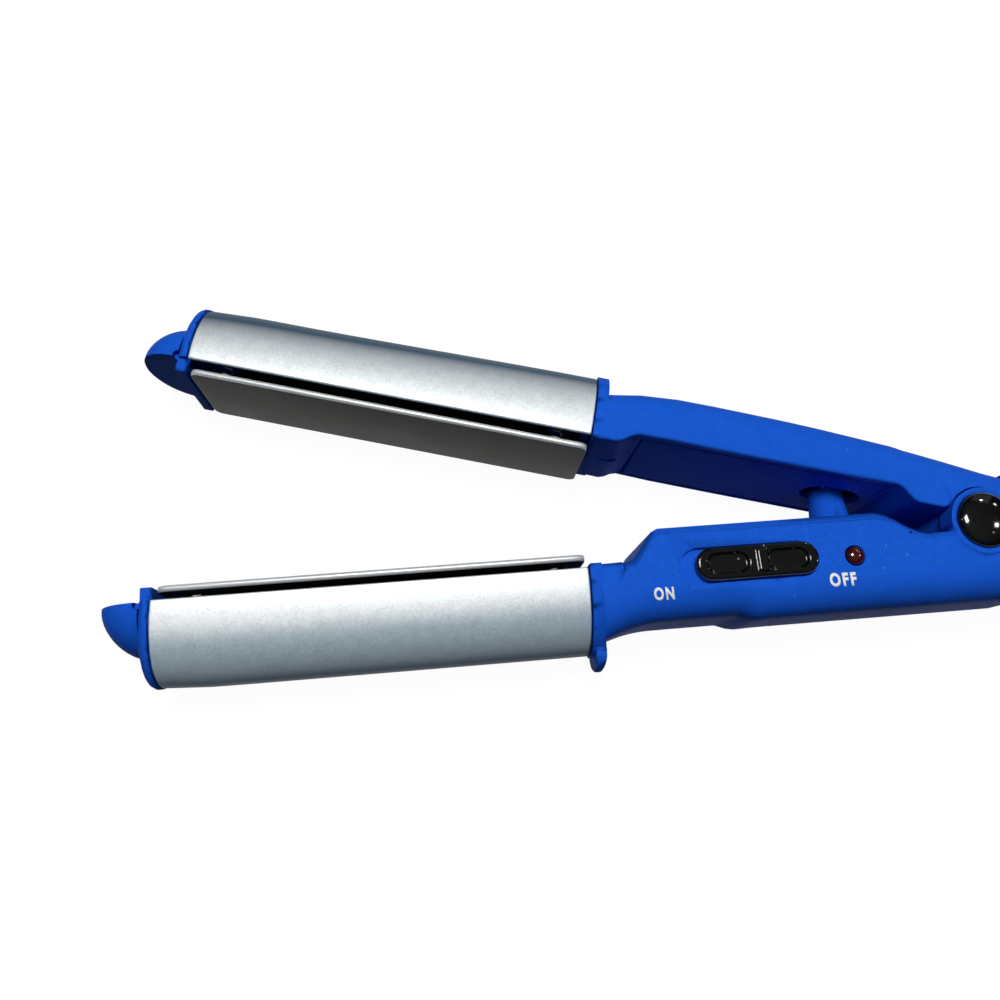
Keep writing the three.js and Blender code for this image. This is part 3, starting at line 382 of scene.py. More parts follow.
@dataclass
class NodeTree:
    """A short way to write shader nodes: makes them, sets their sockets and links them."""

    tree: bpy.types.NodeTree

    def add(self, kind: str, settings: dict[str, object] | None = None,
            **inputs: object) -> bpy.types.Node:
        """Adds a node.

        Args:
            kind: The node's type, such as TexNoise, without ShaderNode in front.
            settings: Properties of the node itself.
            **inputs: Values or other nodes' sockets for its inputs, by name with _ for spaces,
                or by number, such as i0.

        Returns:
            The node.
        """
        node = self.tree.nodes.new(kind if kind.startswith("Node") else "ShaderNode" + kind)
        for key, value in (settings or {}).items():
            setattr(node, key, value)
        for key, value in inputs.items():
            numbered = key[0] == "i" and key[1:].isdigit()
            socket = node.inputs[int(key[1:]) if numbered else key.replace("_", " ")]
            if isinstance(value, Socket):
                self.tree.links.new(value, socket)
            else:
                socket.default_value = value
        return node

    def math(self, operation: str, first: object, second: object = 0.0, clamp: bool = False
             ) -> Socket:
        """Adds a Math node and returns its result."""
        return self.add("Math", {"operation": operation, "use_clamp": clamp},
                        i0=first, i1=second).outputs[0]

    def match(self, first: Socket, second: Socket) -> Socket:
        """Gives two unit vectors' dot product: 1 where they are the same."""
        return self.add("VectorMath", {"operation": "DOT_PRODUCT"},
                        i0=first, i1=second).outputs["Value"]

    def noise(self, place: Socket, scale: object, detail: float, roughness: float = 0.5
              ) -> Socket:
        """Adds a noise and returns its value."""
        return self.add("TexNoise", Vector=place, Scale=scale, Detail=detail,
                        Roughness=roughness).outputs["Fac"]

    def ramp(self, value: Socket, stops: Iterable[Pair]) -> Socket:
        """Adds a grey colour ramp with stops of (place, brightness) and returns its colour."""
        node = self.add("ValToRGB", Fac=value)
        elements = node.color_ramp.elements
        for i, (place, bright) in enumerate(stops):
            element = elements[i] if i < 2 else elements.new(place)
            element.position = place
            element.color = (bright, bright, bright, 1.0)
        return node.outputs["Color"]

    def turned_away(self) -> Socket:
        """Tells how far a barrel's surface turns from the eye, seen across the barrel.

        That is 1 - |n . v|, where v is the unit view vector without its part along X. Finishes use
        it as the mask of the painted shade seen edge on.

        Returns:
            0 where the surface faces the eye and 1 where it is seen edge on.
        """
        geometry = self.add("NewGeometry").outputs
        flat = self.add("VectorMath", {"operation": "MULTIPLY"},
                        i0=geometry["Incoming"], i1=(0.0, 1.0, 1.0))
        across = self.add("VectorMath", {"operation": "NORMALIZE"}, i0=flat.outputs[0])
        match = self.match(across.outputs[0], geometry["Normal"])
        return self.math("SUBTRACT", 1.0, self.math("ABSOLUTE", match), clamp=True)

    def toward_room_side(self) -> Socket:
        """Gives 1 where the surface turns well toward -Y, and 0 where it looks up or away: the
        mask of the painted shade on that side.
        """
        parts = self.add("SeparateXYZ", Vector=self.add("NewGeometry").outputs["Normal"])
        rise = self.add("MapRange", {"interpolation_type": "SMOOTHSTEP"},
                        Value=parts.outputs["Y"], From_Min=-0.22, From_Max=-0.5)
        return rise.outputs["Result"]

    def blend(self, amount: object, first: object, second: object, mode: str = "MIX") -> Socket:
        """Mixes two colours and returns the result."""
        return self.add("Mix", {"data_type": "RGBA", "blend_type": mode},
                        i0=amount, i6=first, i7=second).outputs[2]


def emptied(owner: bpy.types.Material | bpy.types.World) -> NodeTree:
    """Clears a material's or a world's nodes and returns a writer for them."""
    owner.use_nodes = True
    owner.node_tree.nodes.clear()
    return NodeTree(owner.node_tree)


def new_group(name: str, outputs: dict[str, str], inputs: dict[str, float]
              ) -> tuple[NodeTree, Sequence[Socket], Socket]:
    """Starts a shader node group.

    Args:
        name: The group's name.
        outputs: Names and socket types of what it gives.
        inputs: Names and default values of the numbers it takes.

    Returns:
        A writer for the group, the sockets of what it is given, and the object coordinates.
    """
    group = bpy.data.node_groups.new(name, "ShaderNodeTree")
    sockets = group.interface
    for label, value in inputs.items():
        socket = sockets.new_socket(label, in_out="INPUT", socket_type=NUMBER)
        socket.default_value = value
    for label, kind in outputs.items():
        sockets.new_socket(label, in_out="OUTPUT", socket_type=kind)
    nodes = NodeTree(group)
    return nodes, nodes.add("NodeGroupInput").outputs, nodes.add("TexCoord").outputs["Object"]


def grain_group() -> bpy.types.NodeTree:
    """Builds the moulded or blasted grain that plastics and metals share.

    Two noises, one at the grain's size and one five times coarser, are added to a height. A third
    one gives a slow unevenness over centimetres.

    Returns:
        A group that takes the grain's Scale and gives Height and Unevenness.
    """
    nodes, given, place = new_group("surface_grain", {"Height": NUMBER, "Unevenness": NUMBER},
                                    {"Scale": 3000.0})
    fine = nodes.noise(place, given["Scale"], 3.0, 0.6)
    coarse = nodes.noise(place, nodes.math("MULTIPLY", given["Scale"], 0.2), 2.0)
    height = nodes.math("ADD", nodes.math("MULTIPLY", fine, 0.7),
                        nodes.math("MULTIPLY", coarse, 0.3))
    nodes.add("NodeGroupOutput", Height=height, Unevenness=nodes.noise(place, 60.0, 4.0, 0.55))
    return nodes.tree


def speck_group() -> bpy.types.NodeTree:
    """Builds dust specks: small round cells, of which only some are kept.

    A cell's distance gives a dot, and its random colour drops most dots.

    Returns:
        A group that takes Scale and Share and gives a Mask.
    """
    nodes, given, place = new_group("dust_specks", {"Mask": NUMBER},
                                    {"Scale": 900.0, "Share": 0.08})
    cells = nodes.add("TexVoronoi", Vector=place, Scale=given["Scale"])
    dot = nodes.math("LESS_THAN", cells.outputs["Distance"], 0.16)
    chance = nodes.add("SeparateColor", Color=cells.outputs["Color"])
    kept = nodes.math("LESS_THAN", chance.outputs["Red"], given["Share"])
    nodes.add("NodeGroupOutput", Mask=nodes.math("MULTIPLY", dot, kept))
    return nodes.tree


def edge_group() -> bpy.types.NodeTree:
    """Builds edge wear: where the rounded normal leaves the true one, broken up by noise.

    Returns:
        A group that takes Width and gives Rounded, a normal, and Worn, a mask.
    """
    nodes, given, place = new_group("worn_edges", {"Rounded": VECTOR, "Worn": NUMBER},
                                    {"Width": 0.0004})
    rounded = nodes.add("Bevel", {"samples": 6}, Radius=given["Width"]).outputs[0]
    match = nodes.match(rounded, nodes.add("NewGeometry").outputs["Normal"])
    away = nodes.math("MULTIPLY", nodes.math("SUBTRACT", 1.0, match, clamp=True), 5.0)
    worn = nodes.math("MULTIPLY", away, nodes.noise(place, 700.0, 4.0), clamp=True)
    nodes.add("NodeGroupOutput", Rounded=rounded, Worn=worn)
    return nodes.tree


def linear(red: float, green: float, blue: float) -> Colour:
    """Turns a colour of 0 to 255 as it is seen on a screen into the one that shaders take."""
    seen = np.array([red, green, blue]) / 255.0
    value = np.where(seen <= 0.04045, seen / 12.92, ((seen + 0.055) / 1.055) ** 2.4)
    return (*value.tolist(), 1.0)


@dataclass(frozen=True)
class Finish:
    """A surface finish of the iron, with linear colours and lengths in metres.

    The grain has grain_scale bumps a metre and changes the colour by tint_change. Roughness
    varies slowly by unevenness. Edges are rounded by edge_width in shading, and where worn they
    show worn_colour. A share of cells, speck_share, holds a speck of dust. Seen edge on, the
    surface takes a share of a dark side colour, later with a higher power: painted shade that
    stands for a dark reflection. Where it turns toward -Y, the room's dark side, it is multiplied
    by a darker tint: painted shade for that side.
    """

    name: str
    colour: Colour
    roughness: float
    metallic: float = 0.0
    grain_scale: float = 3000.0
    grain_depth: float = 0.00001
    unevenness: float = 0.1
    tint_change: float = 0.06
    worn_colour: Colour = (0.8, 0.8, 0.8, 1.0)
    worn_amount: float = 0.2
    edge_width: float = 0.0003
    speck_colour: Colour = (0.7, 0.75, 0.8, 1.0)
    speck_share: float = 0.0
    coat: float = 0.0
    specular: float = 0.5
    # Painted shade: the darker colour taken where the surface is seen edge on, for a dark
    # reflection.
    edge_on_shade_colour: Colour = (0.1, 0.1, 0.1, 1.0)
    edge_on_shade_amount: float = 0.0
    edge_on_shade_power: float = 1.4
    # Painted shade multiplied in where the surface turns toward -Y.
    room_side_shade: Colour = WHITE

    def build(self, effects: dict[str, bpy.types.NodeTree]) -> bpy.types.Material:
        """Makes the material.

        Colour = the finish's colour, darkened and lightened by the grain, then the edge colour
        where edges are worn, then specks, then painted shade: the side colour where seen edge on
        and the darker tint toward -Y. Roughness = its mean plus the slow unevenness. The normal is
        the rounded one, with the grain as bump on it.

        Args:
            effects: The shared shader groups.

        Returns:
            The material.
        """
        material = bpy.data.materials.new(self.name)
        nodes = emptied(material)
        grain = nodes.add("Group", {"node_tree": effects["grain"]}, Scale=self.grain_scale).outputs
        edges = nodes.add("Group", {"node_tree": effects["edges"]}, Width=self.edge_width).outputs
        shade = nodes.ramp(grain["Height"],
                           [(0.3, 1.0 - self.tint_change), (0.7, 1.0 + self.tint_change)])
        worn = nodes.math("MULTIPLY", edges["Worn"], self.worn_amount)
        tinted = nodes.blend(1.0, self.colour, shade, "MULTIPLY")
        colour = nodes.blend(worn, tinted, self.worn_colour)
        if self.speck_share > 0.0:
            specks = nodes.add("Group", {"node_tree": effects["specks"]}, Share=self.speck_share)
            colour = nodes.blend(specks.outputs["Mask"], colour, self.speck_colour)
        # Painted shade: darker where the surface is seen edge on, and darker again toward -Y.
        if self.edge_on_shade_amount > 0.0:
            late = nodes.math("POWER", nodes.turned_away(), self.edge_on_shade_power)
            side = nodes.math("MULTIPLY", late, self.edge_on_shade_amount, clamp=True)
            colour = nodes.blend(side, colour, self.edge_on_shade_colour)
            colour = nodes.blend(nodes.toward_room_side(), colour, self.room_side_shade, "MULTIPLY")
        slow = nodes.math("SUBTRACT", grain["Unevenness"], 0.5)
        rough = nodes.math("ADD", nodes.math("MULTIPLY", slow, self.unevenness), self.roughness,
                           clamp=True)
        bump = nodes.add("Bump", Distance=self.grain_depth, Height=grain["Height"],
                         Normal=edges["Rounded"])
        shader = nodes.add("BsdfPrincipled", Base_Color=colour, Metallic=self.metallic,
                           Roughness=rough, Coat_Weight=self.coat, Coat_Roughness=0.05,
                           Specular_IOR_Level=self.specular, Normal=bump.outputs["Normal"])
        nodes.add("OutputMaterial", Surface=shader.outputs["BSDF"])
        return material


FINISHES: dict[str, Finish] = {
    "blue_plastic": Finish(
        "blue_moulding", linear(25, 88, 205), 0.5, grain_scale=2900.0, grain_depth=0.000014,
        unevenness=0.12, tint_change=0.15, worn_colour=linear(60, 112, 220), worn_amount=0.25,
        edge_width=0.00016, specular=0.008, speck_colour=linear(70, 120, 215), speck_share=0.02),
    "satin_aluminium": Finish(
        "blasted_aluminium", linear(246, 251, 253), 0.5, metallic=0.26, grain_scale=2700.0,
        grain_depth=0.00003, unevenness=0.14, tint_change=0.16, worn_colour=linear(248, 250, 250),
        # Painted shade: dark blue-grey where seen edge on, and a darker tint toward -Y.
        worn_amount=0.5, specular=0.15, edge_on_shade_colour=linear(46, 76, 98), edge_on_shade_amount=2.05,
        room_side_shade=(0.57, 0.67, 0.74, 1.0)),
    "plate_metal": Finish(
        "plate_coating", linear(44, 42, 33), 0.42, grain_scale=5200.0, grain_depth=0.000008,
        unevenness=0.2, tint_change=0.14, worn_colour=linear(150, 148, 140), worn_amount=0.3,
        edge_width=0.0002, specular=0.06),
    "plate_rim": Finish(
        "bare_plate_edge", linear(204, 208, 210), 0.4, metallic=0.35, grain_scale=5200.0,
        grain_depth=0.000008, unevenness=0.16, tint_change=0.08,
        worn_colour=linear(235, 236, 232), worn_amount=0.4),
    "gloss_black": Finish(
        "polished_black", linear(7, 9, 10), 0.1, grain_scale=900.0, grain_depth=0.000002,
        unevenness=0.08, tint_change=0.2, worn_colour=linear(60, 62, 66), worn_amount=0.2,
        speck_colour=linear(120, 124, 130), speck_share=0.03, coat=0.3, specular=0.35),
    "steel": Finish("bright_steel", linear(214, 216, 218), 0.3, metallic=0.6, grain_scale=2600.0,
                    grain_depth=0.000006, worn_amount=0.3),
    "blued_steel": Finish("blued_spring_steel", linear(34, 36, 44), 0.5, metallic=0.6,
                          grain_scale=2600.0, grain_depth=0.000006, specular=0.1),
    "ceramic": Finish("fired_ceramic", linear(232, 228, 218), 0.72, grain_scale=1800.0,
                      grain_depth=0.00002),
    "board": Finish("board_laminate", linear(52, 116, 70), 0.5, grain_scale=1500.0),
    "red_lens": Finish(
        "red_lens_moulding", linear(58, 6, 9), 0.1, grain_scale=600.0, grain_depth=0.000002,
        tint_change=0.15, worn_colour=linear(190, 110, 110), worn_amount=0.3, coat=0.5),
    "lamp": Finish("tinted_lamp", linear(226, 180, 170), 0.2, grain_scale=800.0,
                   grain_depth=0.000002),
    "dark_plastic": Finish("dark_moulding", linear(34, 36, 40), 0.55),
    "print_white": Finish("white_print", linear(250, 252, 254), 0.5, grain_scale=5200.0,
                          grain_depth=0.000004, tint_change=0.05, worn_amount=0.0),
}


class Wardrobe:
    """Every finish's material, by the record's material slot."""

    def __init__(self) -> None:
        """Builds the shader groups once, and with them all materials."""
        effects = {"grain": grain_group(), "specks": speck_group(), "edges": edge_group()}
        self.materials = {slot: finish.build(effects) for slot, finish in FINISHES.items()}

    def dress(self, piece: Piece, slot: str) -> None:
        """Gives a new piece one of the finishes."""
        piece.data.materials.clear()
        piece.data.materials.append(self.materials[slot])

    def dress_nodes(self) -> None:
        """Gives every CAD node the finish that the record names for it, and the clips blued steel.
        """
        for row in frame["record"]["subparts"]:
            finish = "blued_steel" if "clip" in row["node"] else row["material_slot"]
            for holder in frame["nodes"][row["node"]].material_slots:
                holder.material = self.materials[finish]


@dataclass
class Builder:
    """What every sub-assembly needs: the finishes, and a way to declare its pieces."""

    wardrobe: Wardrobe

    def declare(self, piece: Piece, body: str, slot: str, *replaced: str) -> Piece:
        """Dresses a piece, lets it ride on a body and hides the CAD nodes that it stands for.

        Args:
            piece: The new piece.
            body: The CAD body that carries it.
            slot: The record's material slot, or print_white for the printed words.
            *replaced: CAD nodes that it stands for.

        Returns:
            The piece.
        """
        self.wardrobe.dress(piece, slot)
        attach(piece, body)
        if replaced:
            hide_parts(*replaced)
        log.info("%s: %d faces on %s", piece.name, len(piece.data.polygons), body)
        return piece

    def declare_spring(self, node: str, name: str, bodies: tuple[str, str],
                       ends: Sequence[Sequence[float]]) -> None:
        """Copies a CAD coil, rounds its five-sided wire, dresses it in steel and hides the CAD
        node.

        Args:
            node: The CAD node.
            name: The new piece's name.
            bodies: The body at each end.
            ends: The scene point at each end; not used.
        """
        piece = copy_of(node, name, 60.0)
        level = piece.modifiers.new("round", "SUBSURF")
        level.levels = level.render_levels = 1
        evaluated(piece)
        self.wardrobe.dress(piece, "steel")
        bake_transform(piece)
        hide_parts(node)
        log.info("%s: %d faces between %s and %s", name, len(piece.data.polygons), *bodies)


@dataclass
class Barrel(Builder):
    """One arm's heated end: shell, end ring, cool tip, plate and the plate's springs."""

    place: ArmPlace
    body: str
    plate_body: str
    half_width: float = 10.55 * MM
    depth: float = 13.4 * MM
    rim: float = 2.8 * MM
    rim_bulge: float = 0.6
    wall: float = 1.0 * MM
    shell_run: Pair = (-138.2 * MM, -67.9 * MM)
    shell_edge: float = 0.3 * MM
    plate_run: Pair = (-138.05 * MM, -68.05 * MM)
    plate_half: float = 9.65 * MM
    plate_thickness: float = 1.1 * MM
    plate_face: float = 0.15 * MM
    plate_corner: float = 1.5 * MM
    bare_from_middle: float = 5.3 * MM
    bare_degrees: float = 20.0
    leg_reach: float = 4.3 * MM
    leg_thickness: float = 1.0 * MM
    leg_depth: float = 3.8 * MM
    leg_inset: float = 3.0 * MM
    leg_hook: float = 0.6 * MM
    leg_overlap: float = 0.2 * MM
    nose_base: float = -140.3 * MM
    nose_length: float = 8.2 * MM
    nose_half: float = 9.8 * MM
    nose_depth: float = 8.6 * MM
    nose_power: float = 1.75
    nose_near_power: float = 2.3
    nose_drop: float = 0.1 * MM
    nose_hollow: float = 0.12 * MM
    band_height: float = 0.14 * MM
    band_edge: Pair = (0.45 * MM, 0.6 * MM)
    notch_radius: float = 0.62 * MM
    notch_back: float = 0.3 * MM
    notch_out: float = 0.35 * MM
    notch_span: Pair = (-1.3 * MM, 0.8 * MM)
    end_shift: float = 0.4 * MM
    end_slant: float = 1.0 * MM
    end_taper: float = 0.42 * MM
    end_zone: Pair = (-137.5 * MM, -130.0 * MM)

    def build(self) -> None:
        """Builds and dresses the barrel's pieces."""
        named = self.place.named
        self.declare(self.shell(), self.body, "satin_aluminium", named("shell"))
        self.declare(self.nose(), self.body, "blue_plastic", named("tip"))
        core = self.place.remould(copy_of(named("carrier"), named("barrel_core")), self.slanted)
        self.declare(core, self.body, "blue_plastic", named("carrier"))
        plate = self.declare(self.plate(), self.plate_body, "plate_metal", named("plate"))
        self.bare_edges(plate)
        for i in range(1, 5):
            self.plate_spring(named(f"plate_spring_{i}"), named(f"plate_coil_{i}"))

    def plate_spring(self, node: str, name: str) -> None:
        """Puts in one of the coils between the plate and the carrier.

        Args:
            node: The CAD node.
            name: The new piece's name.
        """
        local = self.place.back(read_rows(frame["nodes"][node].data.vertices, "co"))
        low, high = local.min(axis=0), local.max(axis=0)
        middle = (low + high) / 2.0
        ends = stacked(middle[0], np.array([low[1], high[1]]), middle[2])
        self.declare_spring(node, name, (self.plate_body, self.body),
                            self.place.carry(ends).tolist())

    def slanted(self, points: Array) -> Array:
        """Leans the barrel's tip end: the further out from the plate, the further toward the tip.

        Args:
            points: Points in the arm frame.

        Returns:
            The points, with x drawn toward the tip by a shift and a share of the depth, and y
            drawn in by a smaller share.
        """
        x, y, z = points[..., 0], points[..., 1], points[..., 2]
        share = np.clip((y - self.rim) / self.depth, 0.0, 1.0)
        near_end = 1.0 - smooth_step(x, *self.end_zone)
        return stacked(x - (self.end_shift + self.end_slant * share) * near_end,
                       y - self.end_taper * share * near_end, z)

    def set_along(self, places: Array, sections: Sequence[Array]) -> Array:
        """Joins parts of rings, given as (z, y), and sets each ring at its place along x."""
        ring = np.concatenate(sections, axis=1)
        return stacked(places[:, None], ring[..., 1], ring[..., 0])

    def shell(self) -> Piece:
        """Builds the half-round metal shell with rounded rims.

        The section is a closed band: an outer half ellipse, a round rim, an inner half ellipse
        and a second rim. Toward both ends the band gets thinner by a quarter circle.

        Returns:
            The shell.
        """
        places, thin = rounded_run(self.shell_run, self.shell_edge, 5, 12)
        inset = thin[:, None]
        out = np.linspace(0.0, np.pi, 81)
        home = out[::-1]
        rim_turn = np.linspace(0.0, np.pi, 9)[1:-1]
        middle = self.half_width - self.wall / 2.0
        radius = self.wall / 2.0 - inset
        swing = np.cos(rim_turn) * radius
        level = self.rim - np.sin(rim_turn) * radius * self.rim_bulge
        grid = self.set_along(places, [
            stacked((self.half_width - inset) * np.cos(out),
                    self.rim + (self.depth - inset) * np.sin(out)),
            stacked(-middle - swing, level),
            stacked((self.half_width - self.wall + inset) * np.cos(home),
                    self.rim + (self.depth - self.wall + inset) * np.sin(home)),
            stacked(middle - swing, level)])
        return skin_band(self.place.named("barrel_shell"), self.place.carry(self.slanted(grid)),
                         rim_turn.size)

    def nose(self) -> Piece:
        """Builds the cool tip: half an ogive with a flat inner face, a base step and two notches.

        At a share t of its length the section is a half ellipse whose depth is scaled by
        (1 - t^p)^(1/p), and whose width the same with a higher power, so the point is blunter
        across. Its flat side is eased upward near the rim by the tenth power of the distance from
        the middle. A thin raised band runs round its base.

        Returns:
            The tip.
        """
        t = np.sin(np.linspace(0.0, QUARTER, 48)) * 0.9995
        band = self.band_height * (1.0 - smooth_step(t * self.nose_length, *self.band_edge))
        half, deep = [(size * (1.0 - t ** power) ** (1.0 / power) + band)[:, None]
                      for size, power in ((self.nose_half, self.nose_near_power),
                                          (self.nose_depth, self.nose_power))]
        flat = self.rim - self.nose_drop
        around = np.linspace(0.0, np.pi, 49)
        across = np.linspace(-1.0, 1.0, 33)[1:-1]
        grid = self.set_along(self.nose_base - t * self.nose_length, [
            stacked(half * np.cos(around), flat + deep * np.sin(around)),
            stacked(half * across, flat - self.nose_hollow * (1.0 - across ** 10))])
        piece = skin_grid(self.place.named("cool_tip"), self.place.carry(self.slanted(grid)),
                          40.0)
        return fused(piece, self.notch_cutters(), Fusing.CUT, 40.0)

    def notch_cutters(self) -> list[Piece]:
        """Builds the round cutters of the two small dimples at the tip's base corners."""
        turn = full_turn(32)
        x = self.nose_base - self.end_shift - self.notch_back + self.notch_radius * np.cos(turn)
        y = self.rim + self.notch_out + self.notch_radius * np.sin(turn)
        span = (self.nose_half + np.array(self.notch_span))[:, None]
        return [skin_grid("notch_cutter", self.place.carry(stacked(x, y, side * span)))
                for side in (1.0, -1.0)]

    def plate(self) -> Piece:
        """Builds the heated plate: a flat bar with round long edges and corners, on two legs.

        The section is a stadium, and its half width is drawn in near both ends by a circle's arc.

        Returns:
            The plate.
        """
        places, drawn = rounded_run(self.plate_run, self.plate_corner, 9, 10)
        radius = self.plate_thickness / 2.0
        turn = np.linspace(-QUARTER, QUARTER, 13)
        half = (self.plate_half - radius - drawn)[:, None]
        near = stacked(half + radius * np.cos(turn),
                       self.plate_face + radius + radius * np.sin(turn))
        grid = self.set_along(places, [near, near[:, ::-1] * [-1.0, 1.0]])
        bar = skin_grid(self.place.named("hot_plate"), self.place.carry(grid), 50.0)
        return fused(bar, self.plate_legs(), Fusing.JOIN, 50.0)

    def plate_legs(self) -> list[Piece]:
        """Builds the plate's two legs: bars with a hook turned inward, over most of its length."""
        back = self.plate_face + self.plate_thickness
        top, foot = back - self.leg_overlap, back + self.leg_depth
        outer, inner, hook = self.leg_reach, self.leg_reach - self.leg_thickness, self.leg_hook
        z = np.array([outer, outer, inner - hook, inner - hook, inner, inner])
        y = np.array([top, foot, foot, foot - hook, foot - hook, top])
        x = (np.array(self.plate_run) + self.leg_inset * np.array([1.0, -1.0]))[:, None]
        return [skin_grid("plate_leg", self.place.carry(stacked(x, y, side * z)))
                for side in (1.0, -1.0)]

    def bare_edges(self, piece: Piece) -> None:
        """Gives the plate's long edges the bare metal: outer faces that look well up or down.

        Args:
            piece: The plate, already dressed with its coating.
        """
        mesh = piece.data
        mesh.materials.append(self.wardrobe.materials["plate_rim"])
        normals = read_rows(mesh.polygons, "normal")
        centres = read_rows(mesh.polygons, "center")
        bare = np.abs(normals[:, 2]) > math.sin(math.radians(self.bare_degrees))
        bare &= np.abs(centres[:, 2] - self.place.mid_height) > self.bare_from_middle
        mesh.polygons.foreach_set("material_index", bare.astype(np.int32))
        mesh.update()


@dataclass
class Handle(Builder):
    """The moulded housings and inner covers of both handles, and the words printed on them."""

    lower: ArmPlace
    upper: ArmPlace
    face_height: float = 24.0 * MM
    cover_press: Place = (-0.03 * MM, 0.22 * MM, 0.0)
    print_under: float = 0.02 * MM
    print_height: float = 0.05 * MM
    print_step: float = 0.2 * MM
    print_lean: float = math.radians(-1.2)
    ray_slack: float = 1e-9
    letter_bold: float = 0.045
    letter_space: float = 1.3
    pip_centre: Place = (-63.88 * MM, 2.05 * MM, 1.93 * MM)
    pip_reach: float = 1.97 * MM
    pip_bead: float = 0.24 * MM
    pip_start: float = 205.0
    pip_sweep: float = 177.0

    def build(self) -> None:
        """Builds and dresses the handles' pieces."""
        blue = "blue_plastic"
        ground = self.declare(copy_of("lower_housing", "lower_moulding", 38.0), "lower_arm",
                              blue, "lower_housing")
        cover = self.lower.remould(copy_of("lower_cover", "lower_inner_cover"),
                                   lambda points: points + np.array(self.cover_press))
        self.declare(cover, "lower_arm", blue, "lower_cover")
        housing = self.upper.remould(copy_of("upper_housing", "upper_moulding", 38.0),
                                     lambda points: points)
        self.declare(housing, "upper_arm", blue, "upper_housing")
        self.declare(copy_of("upper_cover", "upper_inner_cover"), "upper_arm", blue,
                     "upper_cover")
        for text, corner, size in (("ON", (-57.95, -9.2), (3.35, 2.15)),
                                   ("OFF", (-28.45, -9.2), (4.55, 2.3))):
            self.declare(self.word(text, corner, size, ground), "lower_arm", "print_white")
        self.declare(self.pip(), "upper_arm", blue)

    def word(self, text: str, corner: Pair, size: Pair,
             ground: Piece) -> Piece:
        """Prints a word on the switch side.

        The letters are laid out flat at the height of that side, cut into narrow strips, and then
        let down along the photograph's lines of sight until they lie on the moulding.

        Args:
            text: The letters.
            corner: Lower left corner in millimetres.
            size: The word's length and its letters' height in millimetres.
            ground: The moulding that it is printed on.

        Returns:
            The word as a thin closed mesh.
        """
        name = f"word_{text.lower()}"
        curve = bpy.data.curves.new(name, "FONT")
        curve.body = text
        curve.offset = self.letter_bold
        curve.extrude = 0.01
        curve.space_character = self.letter_space
        holder = add_object(name + "_outline", curve)
        mesh = baked(holder)
        mesh.name = name
        bpy.data.objects.remove(holder)
        points = read_rows(mesh.vertices, "co")
        low, high = points.min(axis=0), points.max(axis=0)
        share = (points - low) / (high - low)
        points[:, :2] = (np.array(corner) + share[:, :2] * np.array(size)) * MM
        points[:, 2] = self.face_height + share[:, 2] * self.print_height
        points[:, 1] += (points[:, 0] - points[:, 0].min()) * math.tan(self.print_lean)
        mesh.vertices.foreach_set("co", points.reshape(-1))
        work = bmesh.new()
        work.from_mesh(mesh)
        bmesh.ops.remove_doubles(work, verts=work.verts, dist=1e-7)
        for level in np.arange(points[:, 1].min() + self.print_step, points[:, 1].max(),
                               self.print_step):
            bmesh.ops.bisect_plane(work, geom=[*work.verts, *work.edges, *work.faces],
                                   plane_co=(0.0, level, 0.0), plane_no=(0.0, 1.0, 0.0))
        work.to_mesh(mesh)
        work.free()
        self.lay_down(mesh, ground.data)
        tidy_mesh(mesh, 30.0)
        return add_object(name, mesh)

    def lay_down(self, letters: bpy.types.Mesh, ground: bpy.types.Mesh) -> None:
        """Lets flat letters down along the lines of sight until they lie on a moulding.

        With n = a x b for a face's sides a and b, and w from its corner to the eye, the line of
        sight d meets it at s = -(w . n) / (d . n), u = -(d . (b x w)) / (d . n) and
        v = (d . (a x w)) / (d . n). The nearest face with u, v >= 0 and u + v <= 1 counts.

        Args:
            letters: The letters, at the height of the switch side.
            ground: The moulding.
        """
        ground.calc_loop_triangles()
        rows = np.empty(len(ground.loop_triangles) * 3, dtype=np.int32)
        ground.loop_triangles.foreach_get("vertices", rows)
        faces = read_rows(ground.vertices, "co")[rows.reshape(-1, 3)]
        side, other = faces[:, 1] - faces[:, 0], faces[:, 2] - faces[:, 0]
        normal = np.cross(side, other)
        to_eye = np.array(PHOTO_EYE) - faces[:, 0]
        points = read_rows(letters.vertices, "co")
        over = points[:, 2:] - self.face_height - self.print_under
        sight = np.append(points[:, :2], np.full_like(over, self.face_height), 1) - PHOTO_EYE
        with np.errstate(divide="ignore", invalid="ignore"):
            facing = sight @ normal.T
            reach = -(to_eye * normal).sum(axis=1) / facing
            u = -(sight @ np.cross(other, to_eye).T) / facing
            v = (sight @ np.cross(side, to_eye).T) / facing
        met = np.minimum(u, v) >= -self.ray_slack
        reach[~(met & (u + v <= 1.0 + self.ray_slack) & (reach > 0.0))] = np.inf
        nearest = normal[reach.argmin(axis=1)]
        nearest /= np.linalg.norm(nearest, axis=1, keepdims=True)
        laid = PHOTO_EYE + sight * reach.min(axis=1, keepdims=True) + nearest * over
        letters.vertices.foreach_set("co", laid.reshape(-1))

    def pip(self) -> Piece:
        """Builds the small crescent that is moulded on the upper arm's platform.

        A round bead, thin at both ends, is carried along an arc: its radius is r sin(pi t).

        Returns:
            The crescent.
        """
        t = np.linspace(0.02, 0.98, 33)[:, None]
        swing = np.radians(self.pip_start + t * self.pip_sweep)
        bead = self.pip_bead * np.sin(np.pi * t)
        turn = full_turn(12)
        reach = self.pip_reach + bead * np.cos(turn)
        along, out, up = self.pip_centre
        grid = stacked(along + reach * np.cos(swing), out + bead * np.sin(turn),
                       up + reach * np.sin(swing))
        return skin_grid("upper_moulded_pip", self.upper.carry(grid), 60.0)


